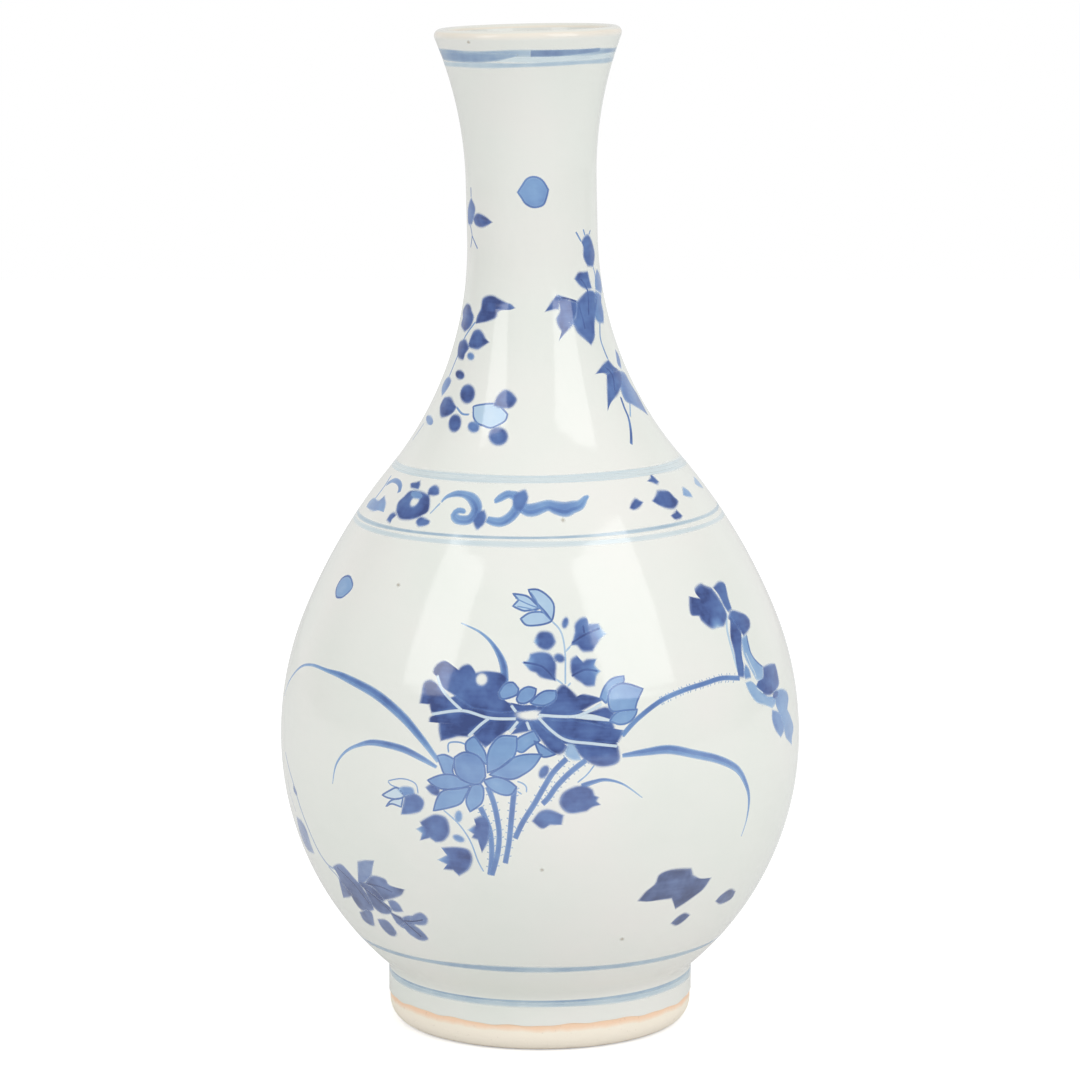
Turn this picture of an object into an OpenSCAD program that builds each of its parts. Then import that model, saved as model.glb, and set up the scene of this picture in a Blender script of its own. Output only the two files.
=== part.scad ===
// Yuhuchunping: a pear-shaped porcelain bottle with a trumpet mouth and a turned foot.
// Thrown in sections, luted with slip, painted in cobalt under the glaze and fired.
// The axis is Z, the foot stands on z = 0, and the painted front faces -Y.

/* [Outline] */
// Height from the foot to the top of the lip
total_h = 270; // [262:0.5:280]
// Outside radius of the everted lip
mouth_r = 25; // [22.5:0.1:28]
// Outside radius of the throat, the straight part of the neck
throat_r = 17.5; // [16:0.1:19.5]
// Height at which the throat starts to flare into the mouth
throat_top = 229; // [222:0.5:236]
// Height at which the throat starts to swell towards the shoulder
throat_low = 214; // [206:0.5:220]
// Radius of the hollow sweep under the throat
neck_sweep = 95; // [80:0.5:110]
// Slope, from upright, where the neck runs into the shoulder
neck_slope = 39.7; // [37:0.1:43]
// Slope, from upright, where the shoulder rounds into the belly
shoulder_slope = 22.4; // [20:0.1:25]
// Largest outside radius, at the belly
belly_r = 70.6; // [67:0.1:75]
// Height of the largest radius
belly_z = 78.6; // [72:0.1:86]
// Outside radius of the body where it meets the foot
base_r = 41.9; // [39:0.1:45]
// Sideways tilt of the neck, which was luted a little off plumb
neck_lean = 1.25; // [0:0.05:2.5]

/* [Foot] */
// Height of the foot
foot_h = 16.2; // [12:0.1:20]
// How far the foot is set in under the body
foot_step = 0.4; // [0.1:0.1:2]
// Height of the small cove between the body and the foot
foot_cove = 1.1; // [0.6:0.1:1.3]
// Width of the standing ring at the top of the foot
foot_w = 6; // [4.5:0.1:8]
// Width of the turned bevel at the bottom edge
foot_bevel_w = 2.6; // [1:0.1:3.5]
// Height of the turned bevel at the bottom edge
foot_bevel_h = 4.2; // [2:0.1:5]
// Height at which the glaze was wiped off the foot
glaze_line = 6.3; // [5.5:0.1:9]

/* [Layers] */
// Thickness of the clay wall
wall_t = 3; // [2.2:0.1:4]
// Thickness of the clay floor
floor_t = 5; // [3.5:0.1:7]
// Thickness of the glaze, inside and out
glaze_t = 0.3; // [0.2:0.02:0.5]
// Thickness of the slip in each luted seam
slip_t = 0.6; // [0.3:0.1:1]
// Depth of the cobalt that has bled up through the glaze
cobalt_t = 0.15; // [0.1:0.01:0.18]

/* [Painted lines] */
// Depth of the upper rim line below the top of the lip
rim_line_drop = 6.1; // [4.5:0.1:8]
// Distance between the two rim lines
rim_line_gap = 2.6; // [1.8:0.1:4]
// Height of the lower collar-top line above the neck seam
collar_top_up = 0.8; // [0.6:0.1:2]
// Distance between the two collar-top lines
collar_top_gap = 1.3; // [1.1:0.1:2.5]
// Depth of the upper collar-bottom line below the neck seam
collar_h = 12.8; // [9:0.1:16]
// Distance between the two collar-bottom lines
collar_low_gap = 2; // [1.4:0.1:3]
// Height of the skirt line above the top of the foot
skirt_line_up = 9.5; // [6:0.1:14]
// Depth of the line on the foot below the top of the foot
foot_line_drop = 2.1; // [2:0.1:4]
// Width of a strong line
strong_line_w = 1.3; // [0.8:0.1:1.6]
// Width of a fine line
fine_line_w = 0.7; // [0.4:0.1:1]

/* [Hidden] */
$fn = 160;
// Length of the short straight runs that follow an arc of the outline
run = 4;
// Runs round the half-circle of the lip
lip_runs = 12;

paste = "#e9d9c4";
glaze_white = "#e4e7e1";
lip_buff = "#d9c8b4";
cobalt = "#46609f";
pale_cobalt = "#a9bcd2";

// The whole wall is the clay between two coats of glaze
coat_t = wall_t + 2 * glaze_t;
clay_in = glaze_t + wall_t;
// The lip is a half-round of the wall's thickness, on the mid-line of the flaring wall
lip_r = coat_t / 2;
mouth_out = mouth_r - throat_r;
mouth_up = total_h - lip_r - throat_top;
mid_flare_r = (mouth_out ^ 2 + mouth_up ^ 2) / (2 * mouth_out);
flare_r = mid_flare_r - lip_r;
lip_angle = asin(mouth_up / mid_flare_r);
lip_centre = [mouth_r - lip_r, total_h - lip_r];

// The sweep, the shoulder and the belly are arcs that run smoothly into each other.
// Their radii follow from the reach and the drop between the throat and the belly.
reach = belly_r - throat_r;
drop = throat_low - belly_z;
slope_mix = sin(neck_slope) * (1 - cos(shoulder_slope)) - sin(shoulder_slope) * (1 - cos(neck_slope));
sweep_and_shoulder = (drop * (1 - cos(shoulder_slope)) - reach * sin(shoulder_slope)) / slope_mix;
shoulder_less_belly = (drop * (1 - cos(neck_slope)) - reach * sin(neck_slope)) / slope_mix;
shoulder_r = sweep_and_shoulder - neck_sweep;
upper_belly_r = shoulder_r - shoulder_less_belly;
lower_in = belly_r - base_r;
lower_drop = belly_z - foot_h;
lower_belly_r = (lower_in ^ 2 + lower_drop ^ 2) / (2 * lower_in);
lower_slope = asin(lower_drop / (lower_belly_r - glaze_t));

// Centres of the arcs in the half-section, as distance from the axis and height
flare_centre = [throat_r + flare_r, throat_top];
sweep_centre = [throat_r + neck_sweep, throat_low];
upper_belly_centre = [belly_r - upper_belly_r, belly_z];
shoulder_centre = upper_belly_centre
    - shoulder_less_belly * [cos(shoulder_slope), sin(shoulder_slope)];
lower_belly_centre = [belly_r - lower_belly_r, belly_z];

// The neck is luted on where the sweep turns into the shoulder. It tilts about the centre of
// the sphere that touches the body along that seam, so the two surfaces still meet there.
seam_x = throat_r + neck_sweep * (1 - cos(neck_slope));
seam_z = throat_low - neck_sweep * sin(neck_slope);
pivot_z = seam_z - seam_x * tan(neck_slope);

foot_r = base_r - foot_step;
foot_inner_r = foot_r - foot_w;
floor_z = foot_h + floor_t;
skirt_z = foot_h + skirt_line_up;

// Each painted line is a span of heights, listed from the top down
function span(z, w) = [z + w / 2, z - w / 2];
rim_spans = [span(total_h - rim_line_drop, strong_line_w),
    span(total_h - rim_line_drop - rim_line_gap, fine_line_w)];
collar_top_spans = [span(seam_z + collar_top_up + collar_top_gap, fine_line_w),
    span(seam_z + collar_top_up, fine_line_w)];
collar_bottom_spans = [span(seam_z - collar_h, strong_line_w),
    span(seam_z - collar_h - collar_low_gap, fine_line_w)];
skirt_span = span(skirt_z, strong_line_w);
foot_span = span(foot_h - foot_line_drop, strong_line_w);

function reversed(list) = [for (i = [len(list) - 1 : -1 : 0]) list[i]];

// Points on an arc of radius r + off, as many as an arc of radius r needs
function arc(centre, r, off, from, to) =
    let (n = ceil(abs(to - from) * PI / 180 * r / run))
    [for (i = [0 : n]) let (a = from + (to - from) * i / n) centre + (r + off) * [cos(a), sin(a)]];

// The outline of the bottle set in by t, from the lip down to the foot
function outline(t) = concat(
    arc(flare_centre, flare_r, t, 180 - lip_angle, 180),
    arc(sweep_centre, neck_sweep, t, 180, 180 + neck_slope),
    arc(shoulder_centre, shoulder_r, -t, neck_slope, shoulder_slope),
    arc(upper_belly_centre, upper_belly_r, -t, shoulder_slope, 0),
    arc(lower_belly_centre, lower_belly_r, -t, 0, -lower_slope));

// The outline's distance from the axis at the height z
function radius_at(t, z) = lookup(z, [for (p = outline(t)) [p[1], p[0]]]);

// The stretch of the outline between two heights, from the top down
function stretch(t, high, low) =
    let (top = outline(t)[0][1])
    concat(
        high < top ? [[radius_at(t, high), high]] : [],
        [for (p = outline(t)) if (p[1] < high - 0.01 && p[1] > low + 0.01) p],
        [[radius_at(t, low), low]]);

// The outside of the glaze between two heights, stepped in by the cobalt of the painted lines
function painted_stretch(high, low, spans, i = 0) =
    i == len(spans)
    ? stretch(0, high, low)
    : concat(
        stretch(0, high, spans[i][0]),
        stretch(cobalt_t, spans[i][0], spans[i][1]),
        painted_stretch(spans[i][1], low, spans, i + 1));

// Half-circle round the lip, from the outside over the top to the inside
function lip_arc(r) =
    [for (i = [0 : lip_runs]) let (a = -lip_angle + 180 * i / lip_runs) lip_centre + r * [cos(a), sin(a)]];

// A layer of the wall between two depths and two heights
module layer(outer, inner, high, low) {
    rotate_extrude()
        polygon(concat(stretch(outer, high, low), reversed(stretch(inner, high, low))));
}

// The cobalt of each painted line in a list
module lines(spans) {
    for (s = spans)
        layer(0, cobalt_t, s[0], s[1]);
}

// What was luted on with the neck leans with it, to the left of the painted front
module leaning() {
    translate([0, 0, pivot_z])
        rotate([0, -neck_lean, 0])
            translate([0, 0, -pivot_z])
                children();
}

// The part of a turned shape that lies under the leaning neck
module under_neck() {
    intersection() {
        children();
        leaning()
            translate([0, 0, seam_z - total_h])
                cylinder(h = total_h, r = 2 * belly_r);
    }
}

// Turned standing ring of bare paste
module foot_ring() {
    top = foot_h - slip_t;
    outer = foot_r - glaze_t;
    color(paste)
        rotate_extrude()
            polygon([[foot_inner_r, 0], [outer - foot_bevel_w, 0], [outer, foot_bevel_h], [outer, top],
                [foot_inner_r, top]]);
}

// Slip that lutes the foot to the body
module foot_slip() {
    color(paste)
        rotate_extrude()
            translate([foot_inner_r, foot_h - slip_t])
                square([foot_w - glaze_t, slip_t]);
}

// Thrown bowl with its floor, up to the seam round the belly
module lower_body() {
    top = belly_z - slip_t / 2;
    color(paste)
        rotate_extrude()
            polygon(concat(stretch(glaze_t, top, foot_h), [[0, foot_h], [0, floor_z]],
                reversed(stretch(clay_in, top, floor_z))));
}

// Slip in the seam round the belly
module belly_slip() {
    color(paste)
        layer(glaze_t, clay_in, belly_z + slip_t / 2, belly_z - slip_t / 2);
}

// Thrown shoulder, cut to the leaning neck
module upper_body() {
    color(paste)
        under_neck()
            layer(glaze_t, clay_in, throat_low, belly_z + slip_t / 2);
}

// Slip that lutes the neck to the shoulder
module neck_slip() {
    color(paste)
        leaning()
            layer(glaze_t, clay_in, seam_z + slip_t, seam_z);
}

// Thrown neck with its rounded lip
module neck() {
    color(paste)
        leaning()
            rotate_extrude()
                polygon(concat(reversed(stretch(glaze_t, total_h, seam_z + slip_t)), lip_arc(wall_t / 2),
                    stretch(clay_in, total_h, seam_z + slip_t)));
}

// Glaze over the body and the upper part of the foot
module body_glaze() {
    spans = concat(collar_bottom_spans, [skirt_span]);
    inner = foot_r - glaze_t;
    color(glaze_white)
        under_neck()
            rotate_extrude()
                polygon(concat(
                    painted_stretch(throat_low, foot_h, spans),
                    [[foot_r, foot_h - foot_cove], [foot_r, foot_span[0]],
                        [foot_r - cobalt_t, foot_span[0]], [foot_r - cobalt_t, foot_span[1]],
                        [foot_r, foot_span[1]], [foot_r, glaze_line], [inner, glaze_line], [inner, foot_h]],
                    reversed(stretch(glaze_t, throat_low, foot_h))));
}

// Glaze over the neck, up to the lip
module neck_glaze() {
    color(glaze_white)
        leaning()
            rotate_extrude()
                polygon(concat(painted_stretch(total_h, seam_z, concat(rim_spans, collar_top_spans)),
                    reversed(stretch(glaze_t, total_h, seam_z))));
}

// Thin glaze over the lip, through which the paste shows
module lip_glaze() {
    color(lip_buff)
        leaning()
            rotate_extrude()
                polygon(concat(lip_arc(lip_r), reversed(lip_arc(wall_t / 2))));
}

// Glaze inside the body
module body_lining() {
    color(glaze_white)
        under_neck()
            rotate_extrude()
                polygon(concat(
                    stretch(clay_in, throat_low, floor_z),
                    [[0, floor_z], [0, floor_z + glaze_t]],
                    reversed(stretch(coat_t, throat_low, floor_z + glaze_t))));
}

// Glaze inside the neck
module neck_lining() {
    color(glaze_white)
        leaning()
            layer(clay_in, coat_t, total_h, seam_z);
}

// Glaze under the base, inside the foot
module base_glaze() {
    color(glaze_white)
        translate([0, 0, foot_h - glaze_t])
            cylinder(h = glaze_t, r = foot_inner_r);
}

// Painted double line under the lip
module rim_lines() {
    color(cobalt)
        leaning()
            lines(rim_spans);
}

// Pale double line above the collar
module collar_top_lines() {
    color(pale_cobalt)
        leaning()
            lines(collar_top_spans);
}

// Painted double line below the collar
module collar_bottom_lines() {
    color(cobalt)
        lines(collar_bottom_spans);
}

// Painted line round the underside of the belly
module skirt_line() {
    color(cobalt)
        lines([skirt_span]);
}

// Painted line round the top of the foot
module foot_line() {
    color(cobalt)
        rotate_extrude()
            translate([foot_r - cobalt_t, foot_span[1]])
                square([cobalt_t, strong_line_w]);
}

foot_ring();
foot_slip();
lower_body();
belly_slip();
upper_body();
neck_slip();
neck();
body_glaze();
neck_glaze();
lip_glaze();
body_lining();
neck_lining();
base_glaze();
rim_lines();
collar_top_lines();
collar_bottom_lines();
skirt_line();
foot_line();
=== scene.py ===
import math

import bmesh
import bpy
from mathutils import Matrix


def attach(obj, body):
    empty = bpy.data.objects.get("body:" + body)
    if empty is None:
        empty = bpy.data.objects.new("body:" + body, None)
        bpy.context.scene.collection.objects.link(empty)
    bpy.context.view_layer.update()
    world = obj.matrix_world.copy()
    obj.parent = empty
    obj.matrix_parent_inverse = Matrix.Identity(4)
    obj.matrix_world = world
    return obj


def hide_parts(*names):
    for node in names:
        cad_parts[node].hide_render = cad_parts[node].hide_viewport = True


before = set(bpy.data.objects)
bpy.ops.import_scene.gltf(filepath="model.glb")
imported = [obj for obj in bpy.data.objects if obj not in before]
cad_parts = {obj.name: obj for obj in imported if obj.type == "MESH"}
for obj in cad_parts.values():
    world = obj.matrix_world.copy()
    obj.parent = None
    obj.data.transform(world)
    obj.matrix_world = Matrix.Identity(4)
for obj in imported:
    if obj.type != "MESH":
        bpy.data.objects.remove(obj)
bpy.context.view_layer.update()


# The standing ring is bare porcelain paste, turned on the wheel and wiped clean of glaze, so that
# the vase did not stick to the kiln shelf. The fire burnt it orange along the edge of the glaze.
mm = 0.001
glaze_t = 0.3
foot_r = 41.5
foot_h = 16.2
foot_inner_r = 35.5
slip_t = 0.6
bare_h = 7.8
bevel_w, bevel_h = 4.4, 5.2
bevel_runs = 8
inner_chamfer = 0.5
round_steps = 256
corner_turn = math.radians(40)
burn_drift = 0.22
grit_shows = 0.25


def colour(red, green, blue):
    """A colour given as 0 to 255 screen values, as Blender's linear RGBA."""
    def linear(value):
        value /= 255
        return value / 12.92 if value <= 0.04045 else ((value + 0.055) / 1.055) ** 2.4
    return (linear(red), linear(green), linear(blue), 1)


def new_material(name, roughness):
    """A plain material, ready for its colour and relief."""
    material = bpy.data.materials.new(name)
    material.use_nodes = True
    shader = material.node_tree.nodes["Principled BSDF"]
    shader.inputs["Roughness"].default_value = roughness
    return material


def add_node(owner, kind, **values):
    """A new node in a material or a room. A value goes to the input of that name, or else to the node."""
    node = owner.node_tree.nodes.new("ShaderNode" + kind)
    for name, value in values.items():
        if name in node.inputs:
            node.inputs[name].default_value = value
        else:
            setattr(node, name, value)
    return node


def link(owner, output, target):
    owner.node_tree.links.new(output, target)


def shader_input(material, name):
    return material.node_tree.nodes["Principled BSDF"].inputs[name]


def noise(material, scale, detail=3, stretch=(1, 1, 1)):
    """Noise in the object's own space, where a scale of 100 gives marks about 10 mm across."""
    place = add_node(material, "TexCoord")
    turn = add_node(material, "Mapping", Scale=stretch)
    cloud = add_node(material, "TexNoise", Scale=scale, Detail=detail)
    link(material, place.outputs["Object"], turn.inputs["Vector"])
    link(material, turn.outputs["Vector"], cloud.inputs["Vector"])
    return cloud.outputs["Fac"]


def height_on(material):
    """The height in the object's own space, in metres."""
    place = add_node(material, "SeparateXYZ")
    link(material, add_node(material, "TexCoord").outputs["Object"], place.inputs["Vector"])
    return place.outputs["Z"]


def rescaled(owner, value, low, high, least=0, most=1):
    """A value that runs from low to high, made to run from least to most."""
    node = add_node(owner, "MapRange")
    for end, number in (("From Min", low), ("From Max", high), ("To Min", least), ("To Max", most)):
        node.inputs[end].default_value = number
    link(owner, value, node.inputs["Value"])
    return node.outputs["Result"]


def wavered(material, value, cloud, drift):
    """A value that drifts with a noise."""
    node = add_node(material, "Math", operation="MULTIPLY_ADD")
    node.inputs[1].default_value = drift
    link(material, cloud, node.inputs[0])
    link(material, value, node.inputs[2])
    return node.outputs["Value"]


def ramp(material, factor, *stops):
    """Colours along a factor, each stop a place from 0 to 1 and a colour."""
    node = add_node(material, "ValToRGB")
    while len(node.color_ramp.elements) < len(stops):
        node.color_ramp.elements.new(0.5)
    for element, (place, shade) in zip(node.color_ramp.elements, stops):
        element.position = place
        element.color = shade
    link(material, factor, node.inputs["Fac"])
    return node.outputs["Color"]


def darkened(material, shade, stain, share):
    """A colour multiplied by a share of another."""
    node = add_node(material, "Mix", data_type="RGBA", blend_type="MULTIPLY")
    node.inputs[0].default_value = share
    link(material, shade, node.inputs[6])
    link(material, stain, node.inputs[7])
    return node.outputs[2]


def bumped(material, *layers):
    """Relief from (height output, depth in metres) pairs, one upon the other."""
    below = None
    for height, depth in layers:
        bump = add_node(material, "Bump", Strength=1, Distance=depth)
        link(material, height, bump.inputs["Height"])
        if below:
            link(material, below, bump.inputs["Normal"])
        below = bump.outputs["Normal"]
    link(material, below, shader_input(material, "Normal"))


def show(name, shape, material, slot, *nodes):
    """Makes the finished piece, in the place of the CAD nodes that it stands for."""
    mesh = bpy.data.meshes.new(name)
    shape.to_mesh(mesh)
    shape.free()
    mesh.materials.append(material)
    mesh.polygons.foreach_set("use_smooth", [True] * len(mesh.polygons))
    mesh.set_sharp_from_angle(angle=corner_turn)
    piece = bpy.data.objects.new(name, mesh)
    bpy.context.scene.collection.objects.link(piece)
    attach(piece, "root")
    if nodes:
        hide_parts(*nodes)
    return piece


def turned(section):
    """A closed half-section, as (radius, height) points in mm, turned round the axis."""
    shape = bmesh.new()
    points = [shape.verts.new((radius * mm, 0, height * mm)) for radius, height in section]
    outline = [shape.edges.new(pair) for pair in zip(points, points[1:] + points[:1])]
    bmesh.ops.spin(
        shape, geom=points + outline, axis=(0, 0, 1), angle=2 * math.pi, steps=round_steps, use_merge=True)
    bmesh.ops.recalc_face_normals(shape, faces=shape.faces)
    return shape


paste = new_material("bare_paste", 0.75)
burn_rise = rescaled(paste, height_on(paste), 0, bare_h * mm)
burnt = ramp(paste, wavered(paste, burn_rise, noise(paste, 160), burn_drift),
    (0.13, colour(232, 222, 208)), (0.24, colour(248, 240, 226)), (0.84, colour(248, 239, 223)),
    (0.93, colour(249, 224, 200)), (1, colour(248, 214, 184)))
grit = ramp(paste, noise(paste, 900, 4), (0.27, colour(150, 130, 108)), (0.34, colour(255, 255, 255)))
link(paste, darkened(paste, burnt, grit, grit_shows), shader_input(paste, "Base Color"))
bumped(paste, (noise(paste, 1500, 5), 0.06 * mm), (noise(paste, 220, 2), 0.12 * mm))

ring_r = foot_r - glaze_t
ring_top = foot_h - slip_t
ring_bevel = [
    (ring_r - bevel_w + bevel_w * math.sin(turn), bevel_h - bevel_h * math.cos(turn))
    for turn in (math.pi / 2 * run / bevel_runs for run in range(bevel_runs + 1))]
ring_inside = [(foot_inner_r, inner_chamfer), (foot_inner_r + inner_chamfer, 0)]
ring = turned(ring_inside + ring_bevel + [(ring_r, ring_top), (foot_inner_r, ring_top)])
show("standing_ring", ring, paste, "bare_paste", "foot_ring")


# The glaze is one milky, faintly green coat over the whole outside, from the foot to the lip. It was
# poured over the raw, hand-thrown body, so it follows the soft turning marks and has a fine peel. Its
# colour is painted a touch greyer up the neck, as painted shade that darkens the neck.
total_h = 270
mouth_r = 25
throat_r, throat_low, throat_top = 17.5, 214, 229
neck_sweep = 95
neck_slope, shoulder_slope = math.radians(39.7), math.radians(22.4)
belly_r, belly_z = 70.6, 78.6
base_r = 41.9
foot_cove = 1.1
wall_t = 3
neck_lean = math.radians(1.25)
lean_blend = 7
wall_step = 1.6
neck_shade_from, neck_shade_full = 165, 245
glaze_roughness, glaze_ior = 0.09, 1.47

# The arcs run into each other without a corner, so the rest of the outline follows from these sizes.
lip_r = wall_t / 2 + glaze_t
mouth_out, mouth_up = mouth_r - throat_r, total_h - lip_r - throat_top
flare_mid_r = (mouth_out ** 2 + mouth_up ** 2) / (2 * mouth_out)
flare_r = flare_mid_r - lip_r
lip_angle = math.asin(mouth_up / flare_mid_r)
lip_low = total_h - lip_r - lip_r * math.sin(lip_angle)
reach, drop = belly_r - throat_r, throat_low - belly_z
neck_sin, neck_in = math.sin(neck_slope), 1 - math.cos(neck_slope)
shoulder_sin, shoulder_in = math.sin(shoulder_slope), 1 - math.cos(shoulder_slope)
slope_mix = neck_sin * shoulder_in - shoulder_sin * neck_in
shoulder_r = (drop * shoulder_in - reach * shoulder_sin) / slope_mix - neck_sweep
belly_step = (drop * neck_in - reach * neck_sin) / slope_mix
upper_belly_r = shoulder_r - belly_step
lower_belly_r = ((belly_r - base_r) ** 2 + (belly_z - foot_h) ** 2) / (2 * (belly_r - base_r))
seam_z = throat_low - neck_sweep * neck_sin
seam_r = throat_r + neck_sweep * neck_in
pivot_z = seam_z - seam_r * math.tan(neck_slope)
break_z = belly_z + upper_belly_r * shoulder_sin


def skin(height):
    """The outside radius at a height, and the angle by which the surface there looks up."""
    if height > throat_top:
        rise = height - throat_top
        return throat_r + flare_r - math.sqrt(flare_r ** 2 - rise ** 2), -math.asin(rise / flare_r)
    if height > throat_low:
        return throat_r, 0
    if height > seam_z:
        fall = throat_low - height
        arc_reach = math.sqrt(neck_sweep ** 2 - fall ** 2)
        return throat_r + neck_sweep - arc_reach, math.asin(fall / neck_sweep)
    if height > foot_h:
        middle_r, middle_z, bend = belly_r - lower_belly_r, belly_z, lower_belly_r
        if height > belly_z:
            middle_r, bend = belly_r - upper_belly_r, upper_belly_r
        if height > break_z:
            middle_r -= belly_step * math.cos(shoulder_slope)
            middle_z -= belly_step * shoulder_sin
            bend = shoulder_r
        rise = height - middle_z
        return middle_r + math.sqrt(bend ** 2 - rise ** 2), math.asin(rise / bend)
    cove = max(0, 1 - (foot_h - height) / foot_cove)
    return foot_r + (base_r - foot_r) * cove ** 2, 0


def leaned(x, y, z):
    """A point given in mm, as metres, tipped to the left if it is above the seam of the neck."""
    share = min(1, max(0, (z - seam_z + lean_blend) / (2 * lean_blend)))
    lean = neck_lean * share * share * (3 - 2 * share)
    up = z - pivot_z
    return (
        (x * math.cos(lean) - up * math.sin(lean)) * mm,
        y * mm,
        (pivot_z + x * math.sin(lean) + up * math.cos(lean)) * mm)


def tip_neck(shape):
    """Tips what is above the seam of the neck, in a shape that was turned upright."""
    for vert in shape.verts:
        vert.co = leaned(*(vert.co / mm))


def wall(depth, low, high):
    """Points on the outline, set in by a depth, from one height up to another."""
    count = math.ceil((high - low) / wall_step)
    points = []
    for step in range(count + 1):
        height = low + (high - low) * step / count
        radius, tilt = skin(height)
        points.append((radius - depth * math.cos(tilt), height - depth * math.sin(tilt)))
    return points


def waves(turn, *parts):
    """Waves round the vase, added up. Each part is a height, a count per round and a start."""
    return sum(height * math.sin(count * turn + start) for height, count, start in parts)


def glassy(name, ior=glaze_ior):
    """A material with the glaze's gloss, its fine peel and the soft turning marks under it."""
    material = new_material(name, glaze_roughness)
    shader_input(material, "IOR").default_value = ior
    bumped(material, (noise(material, 30, 2, (1, 1, 5)), 0.12 * mm), (noise(material, 500, 2), 0.004 * mm))
    return material


glaze = glassy("white_glaze")
milky = ramp(glaze, noise(glaze, 22, 4),
    (0.3, colour(226, 230, 223)), (0.5, colour(230, 232, 226)), (0.7, colour(233, 232, 227)))
# Painted shade: the glaze colour is multiplied a touch greyer from low on the neck up to near the lip.
painted_neck_shade = ramp(glaze, height_on(glaze),
    (neck_shade_from * mm, colour(255, 255, 255)), (neck_shade_full * mm, colour(247, 248, 248)))
link(glaze, darkened(glaze, milky, painted_neck_shade, 1), shader_input(glaze, "Base Color"))

glaze_coat = turned(wall(0, bare_h, lip_low) + wall(glaze_t, bare_h, lip_low)[::-1])
first_row = bare_h + 0.1
for vert in glaze_coat.verts:
    if vert.co.z < first_row * mm:
        turn = math.atan2(vert.co.y, vert.co.x)
        vert.co.z += waves(turn, (0.25, 5, 1), (0.15, 17, 0), (0.1, 31, 0)) * mm
tip_neck(glaze_coat)
show("glaze_skin", glaze_coat, glaze, "white_glaze", "body_glaze", "neck_glaze")


# The lip is a half-round, where the glaze ran thin and the warm paste shows through it. It is whiter
# again on its crown, and its lower edge melts into the coat of the neck.
lip_runs = 14
lip_drift = 0.3
lip_glaze = glassy("lip_glaze")
lip_height = add_node(lip_glaze, "VectorMath", operation="DOT_PRODUCT")
lip_height.inputs[1].default_value = (-math.sin(neck_lean), 0, 1)
link(lip_glaze, add_node(lip_glaze, "TexCoord").outputs["Object"], lip_height.inputs[0])
lip_rise = rescaled(lip_glaze, lip_height.outputs["Value"], lip_low * mm, total_h * mm)
lip_tint = ramp(lip_glaze, wavered(lip_glaze, lip_rise, noise(lip_glaze, 60), lip_drift),
    (0.15, colour(222, 224, 219)), (0.6, colour(231, 225, 214)), (0.85, colour(232, 224, 211)),
    (1, colour(226, 226, 218)))
link(lip_glaze, lip_tint, shader_input(lip_glaze, "Base Color"))


def lip_arc(radius):
    """The half-round from its outside to its inside, at a radius from the middle of the wall."""
    turns = [-lip_angle + math.pi * run / lip_runs for run in range(lip_runs + 1)]
    return [
        (mouth_r - lip_r + radius * math.cos(turn), total_h - lip_r + radius * math.sin(turn))
        for turn in turns]


lip = turned(lip_arc(lip_r) + lip_arc(wall_t / 2)[::-1])
tip_neck(lip)
show("lip", lip, lip_glaze, "lip_glaze", "lip_glaze")


# The neck is glazed inside as well, with the same coat, which was poured in and out again. It meets the
# lip at the top and stops at the seam with the body, whose own lining carries on from there.
neck_wall_face = wall(wall_t + glaze_t, seam_z, lip_low)
neck_bore_face = wall(wall_t + 2 * glaze_t, seam_z, lip_low)
neck_inside = turned(neck_wall_face[::-1] + neck_bore_face)
tip_neck(neck_inside)
show("neck_lining_glaze", neck_inside, glaze, "white_glaze", "neck_lining")


# What is under the glaze stays as the solids have it: the thrown clay sections, the slip that lutes
# them together, and the glaze inside the belly and under the base.
clay = new_material("clay", 0.85)
throwing = ramp(clay, noise(clay, 40, 4, (1, 1, 6)),
    (0.35, colour(226, 216, 198)), (0.65, colour(237, 229, 214)))
link(clay, throwing, shader_input(clay, "Base Color"))
bumped(clay, (noise(clay, 60, 3, (1, 1, 8)), 0.3 * mm), (noise(clay, 1200, 4), 0.05 * mm))
slip = new_material("slip", 0.9)
smears = ramp(slip, noise(slip, 200, 5), (0.3, colour(219, 208, 189)), (0.7, colour(233, 224, 208)))
link(slip, smears, shader_input(slip, "Base Color"))
bumped(slip, (noise(slip, 300, 5), 0.2 * mm))
covers = {
    clay: ["lower_body", "upper_body", "neck"],
    slip: ["foot_slip", "belly_slip", "neck_slip"],
    glaze: ["body_lining", "base_glaze"]}
for material, names in covers.items():
    for name in names:
        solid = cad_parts[name].data
        solid.materials.clear()
        solid.materials.append(material)


# The cobalt lines were painted with a loaded brush while the vase turned on the wheel, so each one
# swells and pales as it goes round. Like all the cobalt, they lie under the glaze and share its gloss.
film_lift = 0.02
layer_lift = 0.012
weld_reach = 0.0005
edge_tone = 0.55
line_steps = 8
line_softness = 1.6
cobalt_ior = 1.8


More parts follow.
